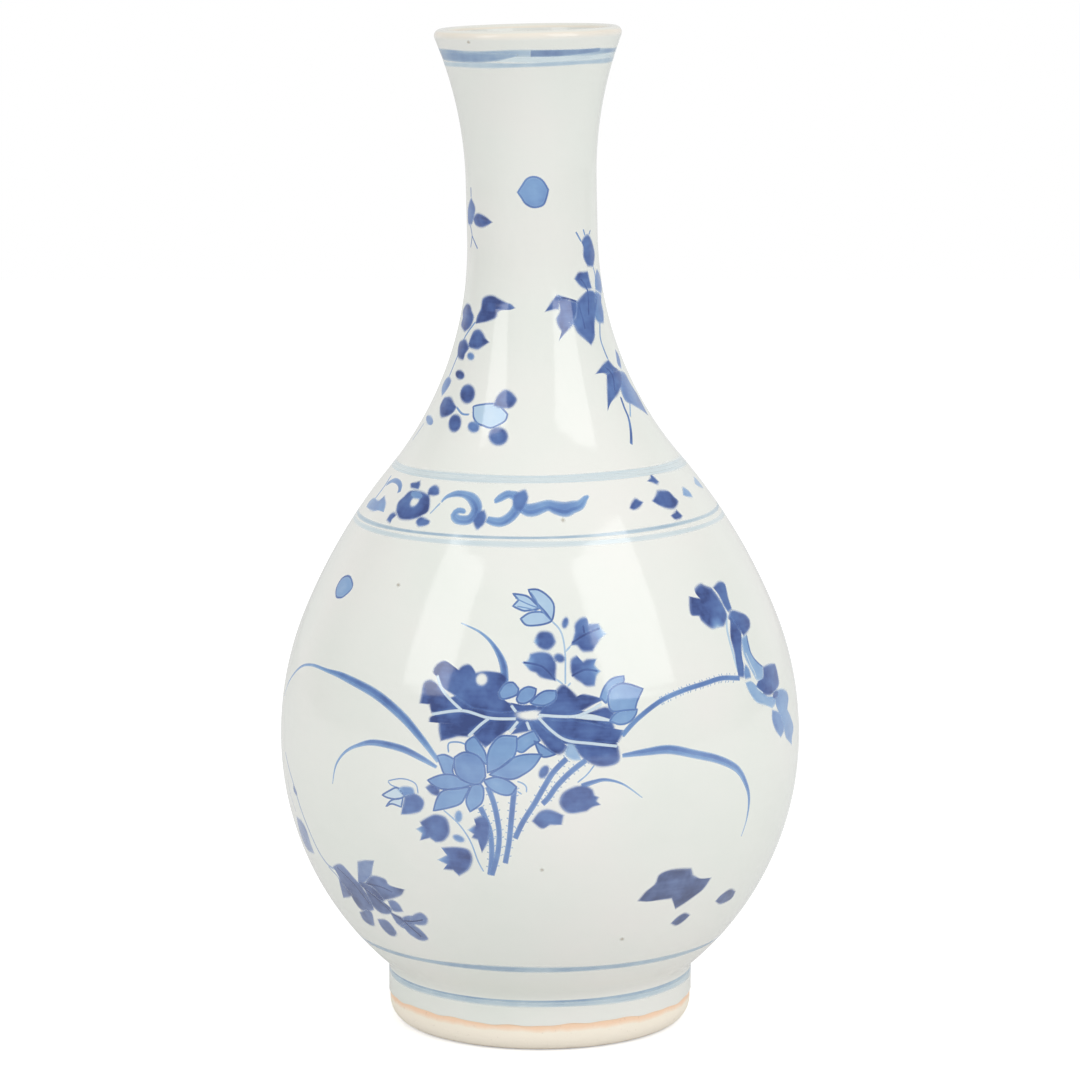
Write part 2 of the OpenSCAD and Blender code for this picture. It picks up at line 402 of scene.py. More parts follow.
def cobalt_paint(name, *blues):
    """Cobalt, whose blue deepens with the strength of the wash that each film of it holds."""
    paint = glassy(name, cobalt_ior)
    strength = add_node(paint, "Attribute", attribute_name="pigment").outputs["Fac"]
    brush_place = add_node(paint, "UVMap", uv_map="brush")
    brush_scale = add_node(paint, "Mapping", Scale=(0.12, 1.1, 1))
    streaks = add_node(paint, "TexNoise", Scale=1, Detail=1)
    link(paint, brush_place.outputs["UV"], brush_scale.inputs["Vector"])
    link(paint, brush_scale.outputs["Vector"], streaks.inputs["Vector"])
    for cloud, least, most in (
            (noise(paint, 130, 2), 0.84, 1.12),
            (noise(paint, 420, 2), 0.95, 1.05),
            (streaks.outputs["Fac"], 0.975, 1.025)):
        pooled = add_node(paint, "Math", operation="MULTIPLY")
        link(paint, strength, pooled.inputs[0])
        link(paint, rescaled(paint, cloud, 0.3, 0.7, least, most), pooled.inputs[1])
        strength = pooled.outputs["Value"]
    link(paint, ramp(paint, strength, *blues), shader_input(paint, "Base Color"))
    cover = add_node(paint, "MapRange", interpolation_type="SMOOTHSTEP")
    edge = add_node(paint, "Attribute", attribute_name="cover").outputs["Fac"]
    link(paint, edge, cover.inputs["Value"])
    link(paint, cover.outputs["Result"], shader_input(paint, "Alpha"))
    return paint


line_cobalt = cobalt_paint("line_cobalt",
    (0.05, colour(219, 227, 227)), (0.2, colour(202, 216, 221)), (0.4, colour(169, 190, 205)),
    (0.6, colour(131, 157, 187)), (0.8, colour(102, 128, 168)), (1, colour(74, 96, 143)))


def new_film():
    """An empty film of paint, which holds its strength, how well it covers and the run of the brush."""
    film = bmesh.new()
    film.verts.layers.float.new("pigment")
    film.verts.layers.float.new("cover")
    film.loops.layers.uv.new("brush")
    return film


def on_vase(turn, height, lift):
    """A point of the vase's skin, lifted off it a little. The front is at turn 0, right is positive."""
    radius, tilt = skin(height)
    out = radius + lift * math.cos(tilt)
    return leaned(out * math.sin(turn), -out * math.cos(turn), height + lift * math.sin(tilt))


def spread(film, along, across, level, place):
    """Lays a grid of paint. At a spot along and across it, place gives the turn, the height, the
    strength, how well the paint covers and the run of the brush."""
    grid = bmesh.ops.create_grid(film, x_segments=along, y_segments=across, size=1)["verts"]
    pigment, cover = film.verts.layers.float["pigment"], film.verts.layers.float["cover"]
    run = film.loops.layers.uv["brush"]
    runs = {}
    for vert in grid:
        turn, height, tone, vert[cover], runs[vert] = place((vert.co.x + 1) / 2, vert.co.y)
        vert[pigment] = tone * (edge_tone + (1 - edge_tone) * vert[cover])
        vert.co = on_vase(turn, height, film_lift + layer_lift * level)
    for face in {face for vert in grid for face in vert.link_faces}:
        for loop in face.loops:
            loop[run].uv = runs[loop.vert]
    bmesh.ops.remove_doubles(film, verts=grid, dist=weld_reach * mm)


def paint_piece(name, film, paint, slot, *nodes):
    """A finished film. It throws no shade on the glaze just behind it."""
    piece = show(name, film, paint, slot, *nodes)
    piece.visible_shadow = piece.visible_diffuse = piece.visible_glossy = False


def band(film, height, width, tone, right_up=0, front_up=0, level=0):
    """A line once round the vase. It tips with the hand, and its width and tone drift."""
    seed = height + width

    def place(along, across):
        turn = 2 * math.pi * along
        sway = right_up * math.sin(turn) + front_up * math.cos(turn) + waves(turn, (0.06, 5, seed))
        swell = 1 + waves(turn, (0.16, 3, 3 * seed), (0.1, 7, seed))
        load = tone * (1 + waves(turn, (0.12, 2, -seed), (0.08, 9, 2 * seed)))
        run = (turn * skin(height)[0], across * width / 2)
        edge = min(1, line_softness * (1 - abs(across)))
        return turn, height + sway + across * swell * width / 2, load, edge, run
    spread(film, round_steps, line_steps, level, place)


foot_lines = new_film()
band(foot_lines, 13.5, 2.6, 0.33, -0.35)
band(foot_lines, 14.4, 1.5, 0.5, -0.35, level=1)
paint_piece("foot_line_paint", foot_lines, line_cobalt, "cobalt", "foot_line")
skirt_lines = new_film()
band(skirt_lines, 25.5, 2.2, 0.48)
paint_piece("skirt_line_paint", skirt_lines, line_cobalt, "cobalt", "skirt_line")
collar_low_lines = new_film()
band(collar_low_lines, 141, 1.1, 0.38, 0.9, -0.6)
band(collar_low_lines, 139.2, 1.7, 0.16, 0.6, -0.4)
paint_piece("collar_bottom_lines_paint", collar_low_lines, line_cobalt, "pale_cobalt",
    "collar_bottom_lines")
collar_high_lines = new_film()
band(collar_high_lines, 153.8, 2.4, 0.12, 0, 0.4)
band(collar_high_lines, 154.4, 0.8, 0.16, 0, 0.4, 1)
band(collar_high_lines, 153.1, 0.8, 0.17, 0, 0.4, 1)
paint_piece("collar_top_lines_paint", collar_high_lines, line_cobalt, "pale_cobalt", "collar_top_lines")


# The flowers were drawn freehand on the raw body: leaves and petals filled with a wet brush, outlines
# and stems with a fine one. A drawing is laid out flat, as seen square on, in mm right of its own
# middle line and mm above the table, and is then pressed on to the vase at the turn that it faces.
front, back = 0, math.pi
tip = True
dark, mid, light = 0.93, 0.68, 0.5
path_step = 0.7
edge_fade = 1
bleed = 0.6
wash_steps, spared_steps, wash_crowding = 7, 24, 1.7
hub_load, rim_load = 0.94, 1.04
faintest = 0.35
stroke_steps, stroke_crowding, stroke_softness = 6, 1.6, 2
thin_load = 0.6
end_cover, end_rise = 0.05, 1.2
farthest = 0.99
patch_step = 1 / 8
outline_tone, outline_width = 0.78, 0.55
hair_tone, hair_width = 0.45, 0.36
hair_length, hair_slant, hair_root = 1.4, 0.3, 0.8
oval_points = 10
cobalt = cobalt_paint("cobalt",
    (0.05, colour(210, 223, 230)), (0.22, colour(178, 204, 226)), (0.42, colour(131, 166, 208)),
    (0.66, colour(100, 132, 186)), (0.9, colour(74, 98, 156)), (1, colour(58, 76, 130)))


def sharp(outline):
    """The points of an outline. A point that is marked as a tip comes twice, so it stays a corner."""
    return [point[:2] for point in outline for _ in point[1:]]


def smooth(points, closed):
    """Points along a smooth curve through the given ones, whatever numbers they hold."""
    count = len(points)
    path = []
    for i in range(count if closed else count - 1):
        before = points[i - 1] if closed or i else points[i]
        start, end = points[i], points[(i + 1) % count]
        after = points[(i + 2) % count] if closed or i + 2 < count else end
        length = math.dist(start[:2], end[:2])
        steps = max(2, math.ceil(length / path_step)) if length else 0
        for t in (step / steps for step in range(steps)):
            path.append([
                b + 0.5 * t * (c - a + t * (2 * a - 5 * b + 4 * c - d + t * (3 * b - a - 3 * c + d)))
                for a, b, c, d in zip(before, start, end, after)])
    return path if closed else path + [list(points[-1])]


def girth_at(points):
    """The radius of the vase at the middle height of some points."""
    return skin(sum(point[1] for point in points) / len(points))[0]


def pressed(points, girth):
    """Drawing points with x turned into the arc that it spans round a girth of the vase."""
    flat = []
    for x, height, *width in points:
        sine = max(-farthest, min(farthest, x / skin(height)[0]))
        flat.append((girth * math.asin(sine), height, *width))
    return flat


def wash(film, outline, tone, facing=front, level=0, bare=None, thin=None):
    """A patch filled with a wet brush, whose edge bleeds a little. bare is a spot left white, as x,
    height, length and width, and thin a place that the colour fades towards, as x, height and reach."""
    points = sharp(outline)
    girth = girth_at(points)
    flat = pressed(points, girth)
    area = sum(a[0] * b[1] - b[0] * a[1] for a, b in zip(flat, flat[1:] + flat[:1]))
    path = smooth(flat[::-1] if area > 0 else flat, True)
    hub = [sum(values) / len(path) for values in zip(*path)]

    def away(spot, here):
        (arc, height), = pressed([spot[:2]], girth)
        return here[0] - arc, here[1] - height

    def place(along, across):
        rim = path[round(along * len(path)) % len(path)]
        reach = math.dist(hub, rim)
        out = 1 - (1 - (across + 1) / 2) ** wash_crowding
        here = [h + (r - h) * out * (1 + bleed / reach) for h, r in zip(hub, rim)]
        load = tone * (hub_load + (rim_load - hub_load) * out)
        cover = min(1, (1 - out) * (reach + bleed) / edge_fade)
        if bare:
            along_spot, up_spot = away(bare, here)
            ring = math.hypot(along_spot * bare[3] / bare[2], up_spot)
            cover *= min(1, max(0, 0.5 + (ring - bare[3] / 2) / edge_fade))
        if thin:
            load *= min(1, faintest + (1 - faintest) * math.hypot(*away(thin, here)) / thin[2])
        return facing + here[0] / girth, here[1], load, cover, here

    spread(film, len(path), spared_steps if bare else wash_steps, level, place)


def stroke(film, points, tone, facing=front, level=0, width=None, closed=False):
    """One pull of the brush through (x, height, width) points, or (x, height) ones of a given width.
    It is paler where it is thin."""
    girth = girth_at(points)
    flat = pressed([point if width is None else (*point[:2], width) for point in points], girth)
    path = smooth(flat, closed)
    last = len(path) - (0 if closed else 1)
    widest = max(point[2] for point in path)

    def place(along, across):
        i = round(along * last)
        arc, height, wide = path[i % len(path)]
        a = path[(i - 1) % len(path)] if closed else path[max(0, i - 1)]
        b = path[(i + 1) % len(path)] if closed else path[min(last, i + 1)]
        ahead, up = b[0] - a[0], b[1] - a[1]
        length = math.hypot(ahead, up) or 1
        side = math.copysign(1 - (1 - abs(across)) ** stroke_crowding, across) * wide / 2
        end = 1 if closed else min(1, min(i, last - i) * end_rise + end_cover)
        load = tone * (thin_load + (1 - thin_load) * wide / widest)
        cover = end * min(1, stroke_softness * (1 - abs(across)))
        turn = facing + (arc - side * up / length) / girth
        return turn, height + side * ahead / length, load, cover, (i * path_step, side)

    spread(film, last, stroke_steps, level, place)


def oval(x, height, length, width, tilt=0):
    """The outline of a round dab. tilt is in degrees, from lying along x."""
    tilt = math.radians(tilt)
    outline = []
    for turn in (2 * math.pi * i / oval_points for i in range(oval_points)):
        a, b = length / 2 * math.cos(turn), width / 2 * math.sin(turn)
        outline.append((
            x + a * math.cos(tilt) - b * math.sin(tilt),
            height + a * math.sin(tilt) + b * math.cos(tilt)))
    return outline


def washes(film, outlines, tone, facing=front, level=0):
    """Patches beside each other, each a trace above the one before."""
    for count, outline in enumerate(outlines):
        wash(film, outline, tone, facing, level + count * patch_step)


def petal(film, outline, tone, facing=front, level=0):
    """A pale petal with its fine outline."""
    wash(film, outline, tone, facing, level)
    stroke(film, sharp(outline), outline_tone, facing, level + 0.5, outline_width, True)


def hairs(film, points, count, width, facing=front):
    """Fine ticks off both edges of a stem of that width."""
    path = smooth([point[:2] for point in points], False)
    for i in range(count):
        at = 1 + (len(path) - 3) * i // count
        (x, height), (next_x, next_height) = path[at], path[at + 1]
        length = math.dist(path[at], path[at + 1])
        ahead, up = (next_x - x) / length, (next_height - height) / length
        for side in (-0.5, 0.5):
            root_out = side * width * hair_root
            end_out = root_out + side * hair_length
            root = (x - up * root_out, height + ahead * root_out)
            end = (x - up * end_out - ahead * hair_slant, height + ahead * end_out - up * hair_slant)
            stroke(film, [root, end], hair_tone, facing, 0, hair_width)


def lotus_leaf(film, facing):
    """A broad lotus leaf seen from above, with pale veins, a white heart and one worm hole."""
    for vein in (
            [(-6, 96.5), (-13, 96.5), (-20, 98), (-28, 96.5)],
            [(-20, 98), (-23.5, 101), (-25.5, 103.5), (-26.5, 106.5)],
            [(-13, 96.5), (-15.5, 94.5), (-18.5, 91.5)],
            [(-5.5, 96), (-8, 93)],
            [(-3.5, 96), (-2.5, 93.5)],
            [(-0.5, 97), (3, 93.5), (7, 91), (13.5, 90), (20, 89)],
            [(-0.5, 97.5), (8, 97), (12, 98), (16, 100)],
            [(-6, 98), (-7.5, 100)]):
        stroke(film, vein, 0.1, facing, 2.5, 0.85)
    stroke(film, [(7, 97, 0.4), (12.5, 96.8, 1.7), (18, 95.7, 0.7)], 0.06, facing, 2.5)
    wash(film, [
        (-27.5, 96.5), (-24.5, 100), (-20, 102), (-12, 101.5), (-4, 99.5), (3, 100), (10, 98.5),
        (17.5, 96.5), (19.5, 91.5), (19, 88), (12.5, 88), (7, 90), (2, 91), (-3, 94), (-8, 94),
        (-12, 92), (-16.5, 92), (-20, 94)], dark, facing, 0.5, bare=(-2.5, 97.5, 6.5, 2.4))
    wash(film, [
        (-27.5, 107), (-26.5, 109), (-24.5, 110), (-22.5, 109), (-21, 108, tip), (-20, 109),
        (-18.5, 109.5), (-17.5, 109), (-16.5, 107.5, tip), (-14.5, 108), (-12, 108), (-9.5, 107.5),
        (-8.5, 106), (-10, 103.5, tip), (-9.5, 101.5), (-7.5, 100), (-6, 98.5, tip), (-10, 98),
        (-14.5, 98.5), (-17.5, 99), (-20, 100.5), (-22.5, 102), (-25, 103.5), (-26, 105.5)],
        dark, facing, 1, bare=(-15, 106, 2.8, 2.8))
    washes(film, (
        [(-31, 99, tip), (-30.5, 101.5), (-30, 104), (-28.5, 105), (-27, 104.5), (-25.5, 103),
            (-23.5, 101), (-20.5, 99, tip), (-24, 98), (-28, 97, tip), (-28.5, 99, tip)],
        [(-28.5, 94.5, tip), (-28, 96), (-24, 97), (-20, 97.5), (-16, 97), (-13.5, 96.5, tip),
            (-15.5, 95), (-18.5, 91.5, tip), (-21, 91.5), (-22.5, 91), (-25.5, 90, tip), (-26, 92.5),
            (-26, 94.5, tip)],
        [(-13, 96, tip), (-6, 96.5, tip), (-8.5, 93.5), (-11.5, 91), (-14, 89, tip), (-15.5, 90),
            (-17.5, 91.5, tip), (-15, 94)],
        [(-5, 95.5, tip), (-3.5, 96, tip), (-2.5, 93.5, tip), (-5, 93), (-7.5, 92.5, tip)],
        [(-2.5, 95.5, tip), (-1.5, 96), (1, 94), (4, 92), (7, 89.5, tip), (6, 88), (4.5, 87.5),
            (2.5, 88.5), (0.5, 91), (-1.5, 93.5)],
        [(1, 96, tip), (4.5, 96), (8.5, 96), (13.5, 95), (17, 94), (21.5, 93, tip), (21, 91.5),
            (20, 90, tip), (14, 90.5), (7.5, 91.5, tip), (4.5, 93)],
        [(9, 89.5, tip), (14, 89.5), (20, 89, tip), (20.5, 86), (19.5, 84.5), (16.5, 84), (14, 84.5),
            (11.5, 86), (10, 87.5)],
        [(-0.5, 97.5, tip), (2, 100.5), (3.5, 102.5), (4.5, 104), (6, 105), (8, 103.5), (9.5, 102, tip),
            (11, 102.5), (13.5, 102), (16.5, 101, tip), (14, 100), (11, 98.5), (8, 97.5, tip),
            (3.5, 97)],
        [(12, 97.5, tip), (14.5, 98.5), (17, 99), (19.5, 98, tip), (18.5, 96.5), (17.5, 95, tip),
            (14.5, 96)],
        [(-7.5, 100.5, tip), (-4.5, 100), (-1, 100, tip), (-1, 99), (-3.5, 98.5), (-6, 98.5)]),
        dark, facing, 1)
    wash(film, [(7, 90, tip), (9, 89.5), (10.5, 86, tip), (8.5, 86), (6.5, 87.5)], 0.35, facing, 1)


def lotus_flower(film, facing):
    """The open lotus, its bud and the three seed heads behind the leaf, in pale wash with outlines."""
    behind = (
        [(-1.5, 91, tip), (1, 89.5), (4, 87.5, tip), (0.5, 87)],
        [(-6, 88.5, tip), (-6, 91), (-4, 92.5), (-1.5, 93.5, tip), (0, 91, tip), (-2.5, 89.5),
            (-4.5, 88)],
        [(-19, 88, tip), (-19, 90), (-17, 91.5), (-15.5, 90), (-14, 87.5), (-13.5, 84.5, tip),
            (-16.5, 86.5)],
        [(-26.5, 86, tip), (-24.5, 86.5), (-22, 85.5, tip), (-22.5, 82.5), (-22, 81.5, tip),
            (-24.5, 81.5), (-25.5, 83.5)],
        [(-10.5, 103, tip), (-9, 105), (-7, 105.5), (-5.5, 104, tip), (-6, 102.5), (-8.5, 101.5),
            (-10, 101.5)],
        [(-6, 101.5, tip), (-5, 103.5), (-3, 104.5), (-1, 104, tip), (-1.5, 102), (-3.5, 100.5),
            (-5.5, 100.5)],
        [(-2.5, 100.5, tip), (-0.5, 102.5), (1.5, 103.5), (4, 103.5, tip), (4, 101.5), (1.5, 100),
            (-1, 100)],
        [(15.5, 101.5, tip), (16.5, 104), (18.5, 106), (21.5, 106.5, tip), (21.5, 105), (19.5, 103.5),
            (17.5, 101), (17, 100, tip)],
        [(18, 95.5, tip), (19, 97), (22, 98.5), (25, 98, tip), (24.5, 96.5), (23, 95), (20.5, 94.5)])
    before = (
        [(-13.5, 82.5, tip), (-13.5, 86.5), (-12.5, 89.5), (-10, 92), (-6, 92, tip), (-6, 89),
            (-7, 86.5), (-10, 84)],
        [(-13, 82, tip), (-9.5, 84.5), (-7, 86.5), (-3.5, 87.5), (0.5, 87.5, tip), (-1.5, 84.5),
            (-4, 82.5), (-7.5, 81)],
        [(-14.5, 80.5, tip), (-11, 81.5), (-8, 80.5), (-6, 79, tip), (-7.5, 77), (-10, 77),
            (-13, 78.5)],
        [(-17.5, 79, tip), (-15.5, 79.5), (-14.5, 78), (-15, 74.5), (-18, 72, tip), (-19, 75)],
        [(-18, 78.5, tip), (-21.5, 78), (-25, 77), (-26.5, 75), (-27.5, 71.5, tip), (-24, 72.5),
            (-20.5, 74), (-19, 76.5)],
        [(-29, 79.5, tip), (-26, 81), (-23, 81.5), (-19.5, 80.5), (-17, 79.5, tip), (-20.5, 78),
            (-24.5, 77.5), (-27, 78)],
        [(17.5, 100.5), (18, 103), (20, 104.5), (22.5, 104.5), (26.5, 103, tip), (25, 100),
            (24.5, 98, tip), (22, 98), (18.5, 98)])
    for count, outline in enumerate(behind + before):
        petal(film, outline, light, facing, 2.5 + count * patch_step)
    petal(film, [
        (-22, 86, tip), (-19.5, 87.5), (-16.5, 87), (-14.5, 85), (-14, 81.5, tip), (-15.5, 79.5),
        (-18, 79.5), (-21, 81), (-22, 83.5)], 0.58, facing, 5)
    stroke(film, [(-23.5, 87), (-23.5, 89.5), (-21, 90), (-19, 89.5)], light, facing, 0, 0.5)


def sprig(film, facing):
    """The sprig that rises over the leaf: a pale flower, buds and lobed leaves with dark ribs."""
    for count, outline in enumerate((
            [(-5, 121, tip), (-2.5, 122.5), (1, 122.5), (3, 120.5, tip), (2, 120), (-0.5, 119.5),
                (-3.5, 119.5)],
            [(-7, 127, tip), (-3.5, 126.5), (-1.5, 125), (0, 123.5, tip), (-3, 123), (-4.5, 123),
                (-7, 124, tip), (-5.5, 125.5, tip)],
            [(-3, 128, tip), (-0.5, 128), (2, 126.5), (3.5, 124.5), (3.5, 122), (3, 120.5, tip),
                (1.5, 122.5), (0, 124), (-1.5, 125.5), (-2.5, 127)])):
        petal(film, outline, 0.25, facing, count / 2)
    for vein in (
            [(-2.5, 127.5), (-1, 125.5), (0, 123.5), (3, 120.5)],
            [(-6.5, 126), (-3, 124.5), (0, 123.5)],
            [(-6, 124), (-3, 123.5), (0.5, 122.5)]):
        stroke(film, vein, 0.6, facing, 3, 0.35)
    wash(film, [
        (8, 114.5, tip), (9, 117.5), (9, 119.5), (10.5, 121), (12, 121), (12.5, 119.5, tip),
        (14, 119.5), (15, 119.5, tip), (16, 118), (17, 117, tip), (15.5, 116, tip), (14.5, 114.5),
        (13.5, 113, tip), (11, 113), (9.5, 114.5)], 0.8, facing, 0, thin=(16.5, 117.5, 3))
    wash(film, [
        (-1.5, 115.5, tip), (-0.5, 117.5), (1, 118), (3, 117.5), (4, 115.5, tip), (3.5, 114.5),
        (2, 113.5), (0, 114)], 0.9, facing, 0, thin=(-1.5, 115.5, 1.5))
    wash(film, [
        (-4.5, 110.5, tip), (-3, 111), (-2.5, 112.5, tip), (0, 113), (2.5, 112.5), (4, 110.5),
        (4, 107.5), (4, 106, tip), (1.5, 106.5), (0, 107), (-1, 108, tip), (-2.5, 108.5), (-3.5, 109.5)],
        0.85, facing, 0, thin=(-4, 110.5, 3))
    wash(film, [
        (8, 108), (8, 111), (9.5, 112, tip), (11, 110.5), (12, 111), (14.5, 111, tip), (14, 109.5),
        (15.5, 108, tip), (14.5, 107), (14, 104.5, tip), (12, 104.5), (10.5, 105.5), (9, 106.5)],
        0.8, facing, 0, thin=(15.5, 109, 3))
    wash(film, oval(6.5, 120, 2.6, 1.5, 75), 0.8, facing)
    wash(film, oval(5, 111.5, 2.8, 2, -20), 0.85, facing)
    for rib in (
            [(8, 115), (11.5, 117), (15.5, 118.5)],
            [(11.5, 117), (11, 119.5)],
            [(-4.5, 110.5), (0.5, 109.5), (4, 106)],
            [(8, 107), (11.5, 108.5), (15, 108)]):
        stroke(film, rib, 0.95, facing, 1, 0.6)
    for stalk in (
            [(3, 120.5), (5, 118.5), (6, 116), (6.5, 112), (6.5, 108), (6.5, 105)],
            [(4, 106.5), (6, 105)],
            [(8, 114.5), (6.5, 113)],
            [(8, 105.5), (7, 104.5)]):
        stroke(film, stalk, 0.3, facing, 0, 0.5)


def stems(film, facing):
    """The bunched stems, hairy like a lotus's, and the bellflowers and leaves beside them."""
    for count, stalk in enumerate((
            [(12, 86), (8, 83), (4.5, 79.5), (2, 76), (0.5, 74.5)],
            [(7, 86.5), (3.5, 83), (1, 79), (-1.5, 74.5), (-4.5, 69.5), (-6.5, 65)],
            [(-6.5, 79), (-7, 74.5), (-7.5, 69), (-8, 64), (-9, 58)],
            [(-15.5, 73.5), (-14.5, 71.5), (-13, 67.5), (-12.5, 63.5), (-12.5, 59), (-13, 54.5)],
            [(-13.5, 79), (-12, 75), (-11, 70.5), (-10.5, 66), (-11, 60.5), (-12.5, 54.5)])):
        stroke(film, stalk, mid, facing, count / 4, 1.7)
        hairs(film, stalk, 10, 1.6, facing)
    for line in (
            [(14, 84.5), (12, 82), (9.5, 80)],
            [(-6, 80.5), (-4.5, 80), (-3.5, 79), (-3.5, 77.5)],
            [(-6, 78), (-4.5, 77)],
            [(-25, 72), (-21, 68.5), (-18, 64), (-16, 58.5), (-14.5, 55.5)]):
        stroke(film, line, 0.4, facing, 0, 0.45)
    wash(film, [
        (-36, 69.5, tip), (-35.5, 72), (-35, 74.5, tip), (-32.5, 75.5), (-30.5, 74.5), (-30, 73),
        (-31, 71), (-33.5, 70)], 0.85, facing, 2)
    wash(film, [
        (-37, 76, tip), (-35.5, 77), (-33, 77), (-32.5, 75.5, tip), (-35, 74.5, tip)],
        0.6, facing, 1.5, thin=(-37, 76, 2))
    for outline in (
            [(-41, 74, tip), (-39, 75.5), (-37, 76.5), (-35, 74.5, tip), (-37, 73.5), (-39.5, 73.5)],
            [(-40, 71, tip), (-38.5, 73), (-35.5, 74, tip), (-36, 71.5, tip), (-38.5, 72)]):
        petal(film, outline, 0.12, facing, 1)
    for line in (
            [(-39.5, 78), (-36.5, 79), (-34, 79), (-32, 78), (-31.5, 75.5)],
            [(-39.5, 78), (-38.5, 77), (-36, 76.5)]):
        stroke(film, line, 0.55, facing, 1, 0.4)
    wash(film, [
        (-32, 66, tip), (-30.5, 67, tip), (-31, 68, tip), (-29, 69.5), (-27, 70.5), (-24.5, 70),
        (-23.5, 68), (-23.5, 65.5), (-25, 63.5), (-27, 63, tip), (-28.5, 64, tip), (-31, 63, tip),
        (-30.5, 65, tip)], 0.88, facing, 1, thin=(-31.5, 65.5, 2.5))
    wash(film, [
        (-25.5, 61.5, tip), (-21.5, 62), (-18.5, 61.5), (-17.5, 59), (-18.5, 56), (-21, 54, tip),
        (-22.5, 55.5, tip), (-25, 55.5, tip), (-24, 57, tip), (-26.5, 58, tip), (-24, 59.5, tip)],
        0.85, facing, 1, thin=(-26, 58.5, 3.5))
    wash(film, [
        (-18.5, 67, tip), (-16.5, 68.5, tip), (-17, 70, tip), (-15, 71), (-13.5, 70), (-13, 67),
        (-13.5, 64), (-15, 61, tip), (-16, 64.5, tip), (-17.5, 65, tip), (-17, 66, tip)],
        0.9, facing, 2, thin=(-18.5, 67.5, 2))
    washes(film, (
        [(-29.5, 77.5, tip), (-28, 78.5), (-26, 77.5), (-26, 75.5, tip), (-28, 76)],
        [(5, 75), (6, 77.5), (9, 79), (12, 79), (13.5, 78, tip), (14, 76.5, tip), (15, 76, tip),
            (14.5, 75, tip), (15.5, 74, tip), (13.5, 73.5), (12, 72.5, tip), (8, 72), (6, 73)],
        [(-2, 70, tip), (0, 72.5), (2.5, 73), (6, 71.5, tip), (5.5, 69, tip), (3.5, 69), (2.5, 69),
            (0.5, 68)],
        oval(1, 83, 3.5, 2.2, 60)), 0.88, facing, 1)
    wash(film, oval(-21, 70.5, 3, 1.8, 85), 0.55, facing)
    wash(film, oval(-21, 64.5, 3, 1.7, -20), 0.6, facing)


def blades(film, facing):
    """The long arching blades of reed round the bunch, each darkest along its back."""
    for pull in (
            [(-26, 84.5, 1.4), (-30.5, 90, 2.2), (-36, 95.5, 2.8), (-43, 100, 2.8), (-51, 102.5, 2.2),
                (-56, 103, 1.2), (-60.5, 103, 0.9), (-64, 101, 0.8), (-67.5, 95.5, 0.7),
                (-69.5, 90.5, 0.5)],
            [(-26.5, 83, 1), (-30.5, 85, 1.8), (-36, 87, 2.1), (-43, 87.5, 1.9), (-47.5, 86, 1.2),
                (-51, 83.5, 0.9), (-53.5, 79.5, 0.7), (-54.5, 74, 0.3)],
            [(-9, 105, 2.2), (-9.5, 110, 2.2), (-12, 114.5, 1.2), (-15.5, 117.5, 0.7),
                (-20.5, 119.5, 0.3)],
            [(21, 86.5, 1.2), (27.5, 87, 2.2), (33.5, 87, 2.7), (40, 85, 2.6), (46.5, 82.5, 2.5),
                (51.5, 79, 2.2), (54, 74.5, 1.7), (55, 70, 1.2), (54.5, 64.5, 0.7), (53, 59.5, 0.4)],
            [(10.5, 79, 1.8), (13.5, 80, 1.4), (17, 80.5, 1), (21.5, 79, 0.6), (26.5, 75, 0.3)]):
        stroke(film, pull, 0.58, facing)
        spine = [(x, height + width / 8, width / 2) for x, height, width in pull[:-1]]
        stroke(film, spine, 0.74, facing, 0.5)


def draw_piece(name, draw, facing):
    """A drawing on a film of its own, at the turn that it faces."""
    film = new_film()
    draw(film, facing)
    paint_piece(name, film, cobalt, "cobalt")


for side, facing in (("front", front), ("back", back)):
    draw_piece(side + "_blades", blades, facing)
    draw_piece(side + "_stems", stems, facing)
    draw_piece(side + "_leaf", lotus_leaf, facing)
    draw_piece(side + "_flower", lotus_flower, facing)
    draw_piece(side + "_sprig", sprig, facing)


# A second lotus leaf stands on a hairy stem at the right, curled and seen from its side. Its lobes are
# dark washes of the same cobalt, and the paler washes beside them are its turned-up back.
side_film = new_film()
side_stem = [(21, 91.5), (25, 95.5), (31, 99.5), (37, 101.5), (43, 102.5), (47.5, 103), (52.5, 102)]
stroke(side_film, side_stem, mid, front, 0, 1.5)
hairs(side_film, side_stem[2:], 20, 1.4)
stroke(side_film, [(49, 118.5), (49, 115.5), (49.5, 112.5), (51, 107), (52, 103.5)], 0.2, front, 0, 0.9)
wash(side_film, [
    (39, 124, tip), (40.5, 123.5), (42, 123, tip), (41, 124), (40.5, 125.5), (42, 126.5), (43, 126),
    (45, 125, tip), (46.5, 123), (48, 120.5), (49, 118), (48.5, 116), (48, 115.5, tip), (46.5, 115.5),
    (45, 115.5), (43.5, 116.5), (42, 118), (41.5, 119), (39.5, 119.5), (39, 121.5)],
    0.88, front, 1, thin=(46.5, 115.5, 3))
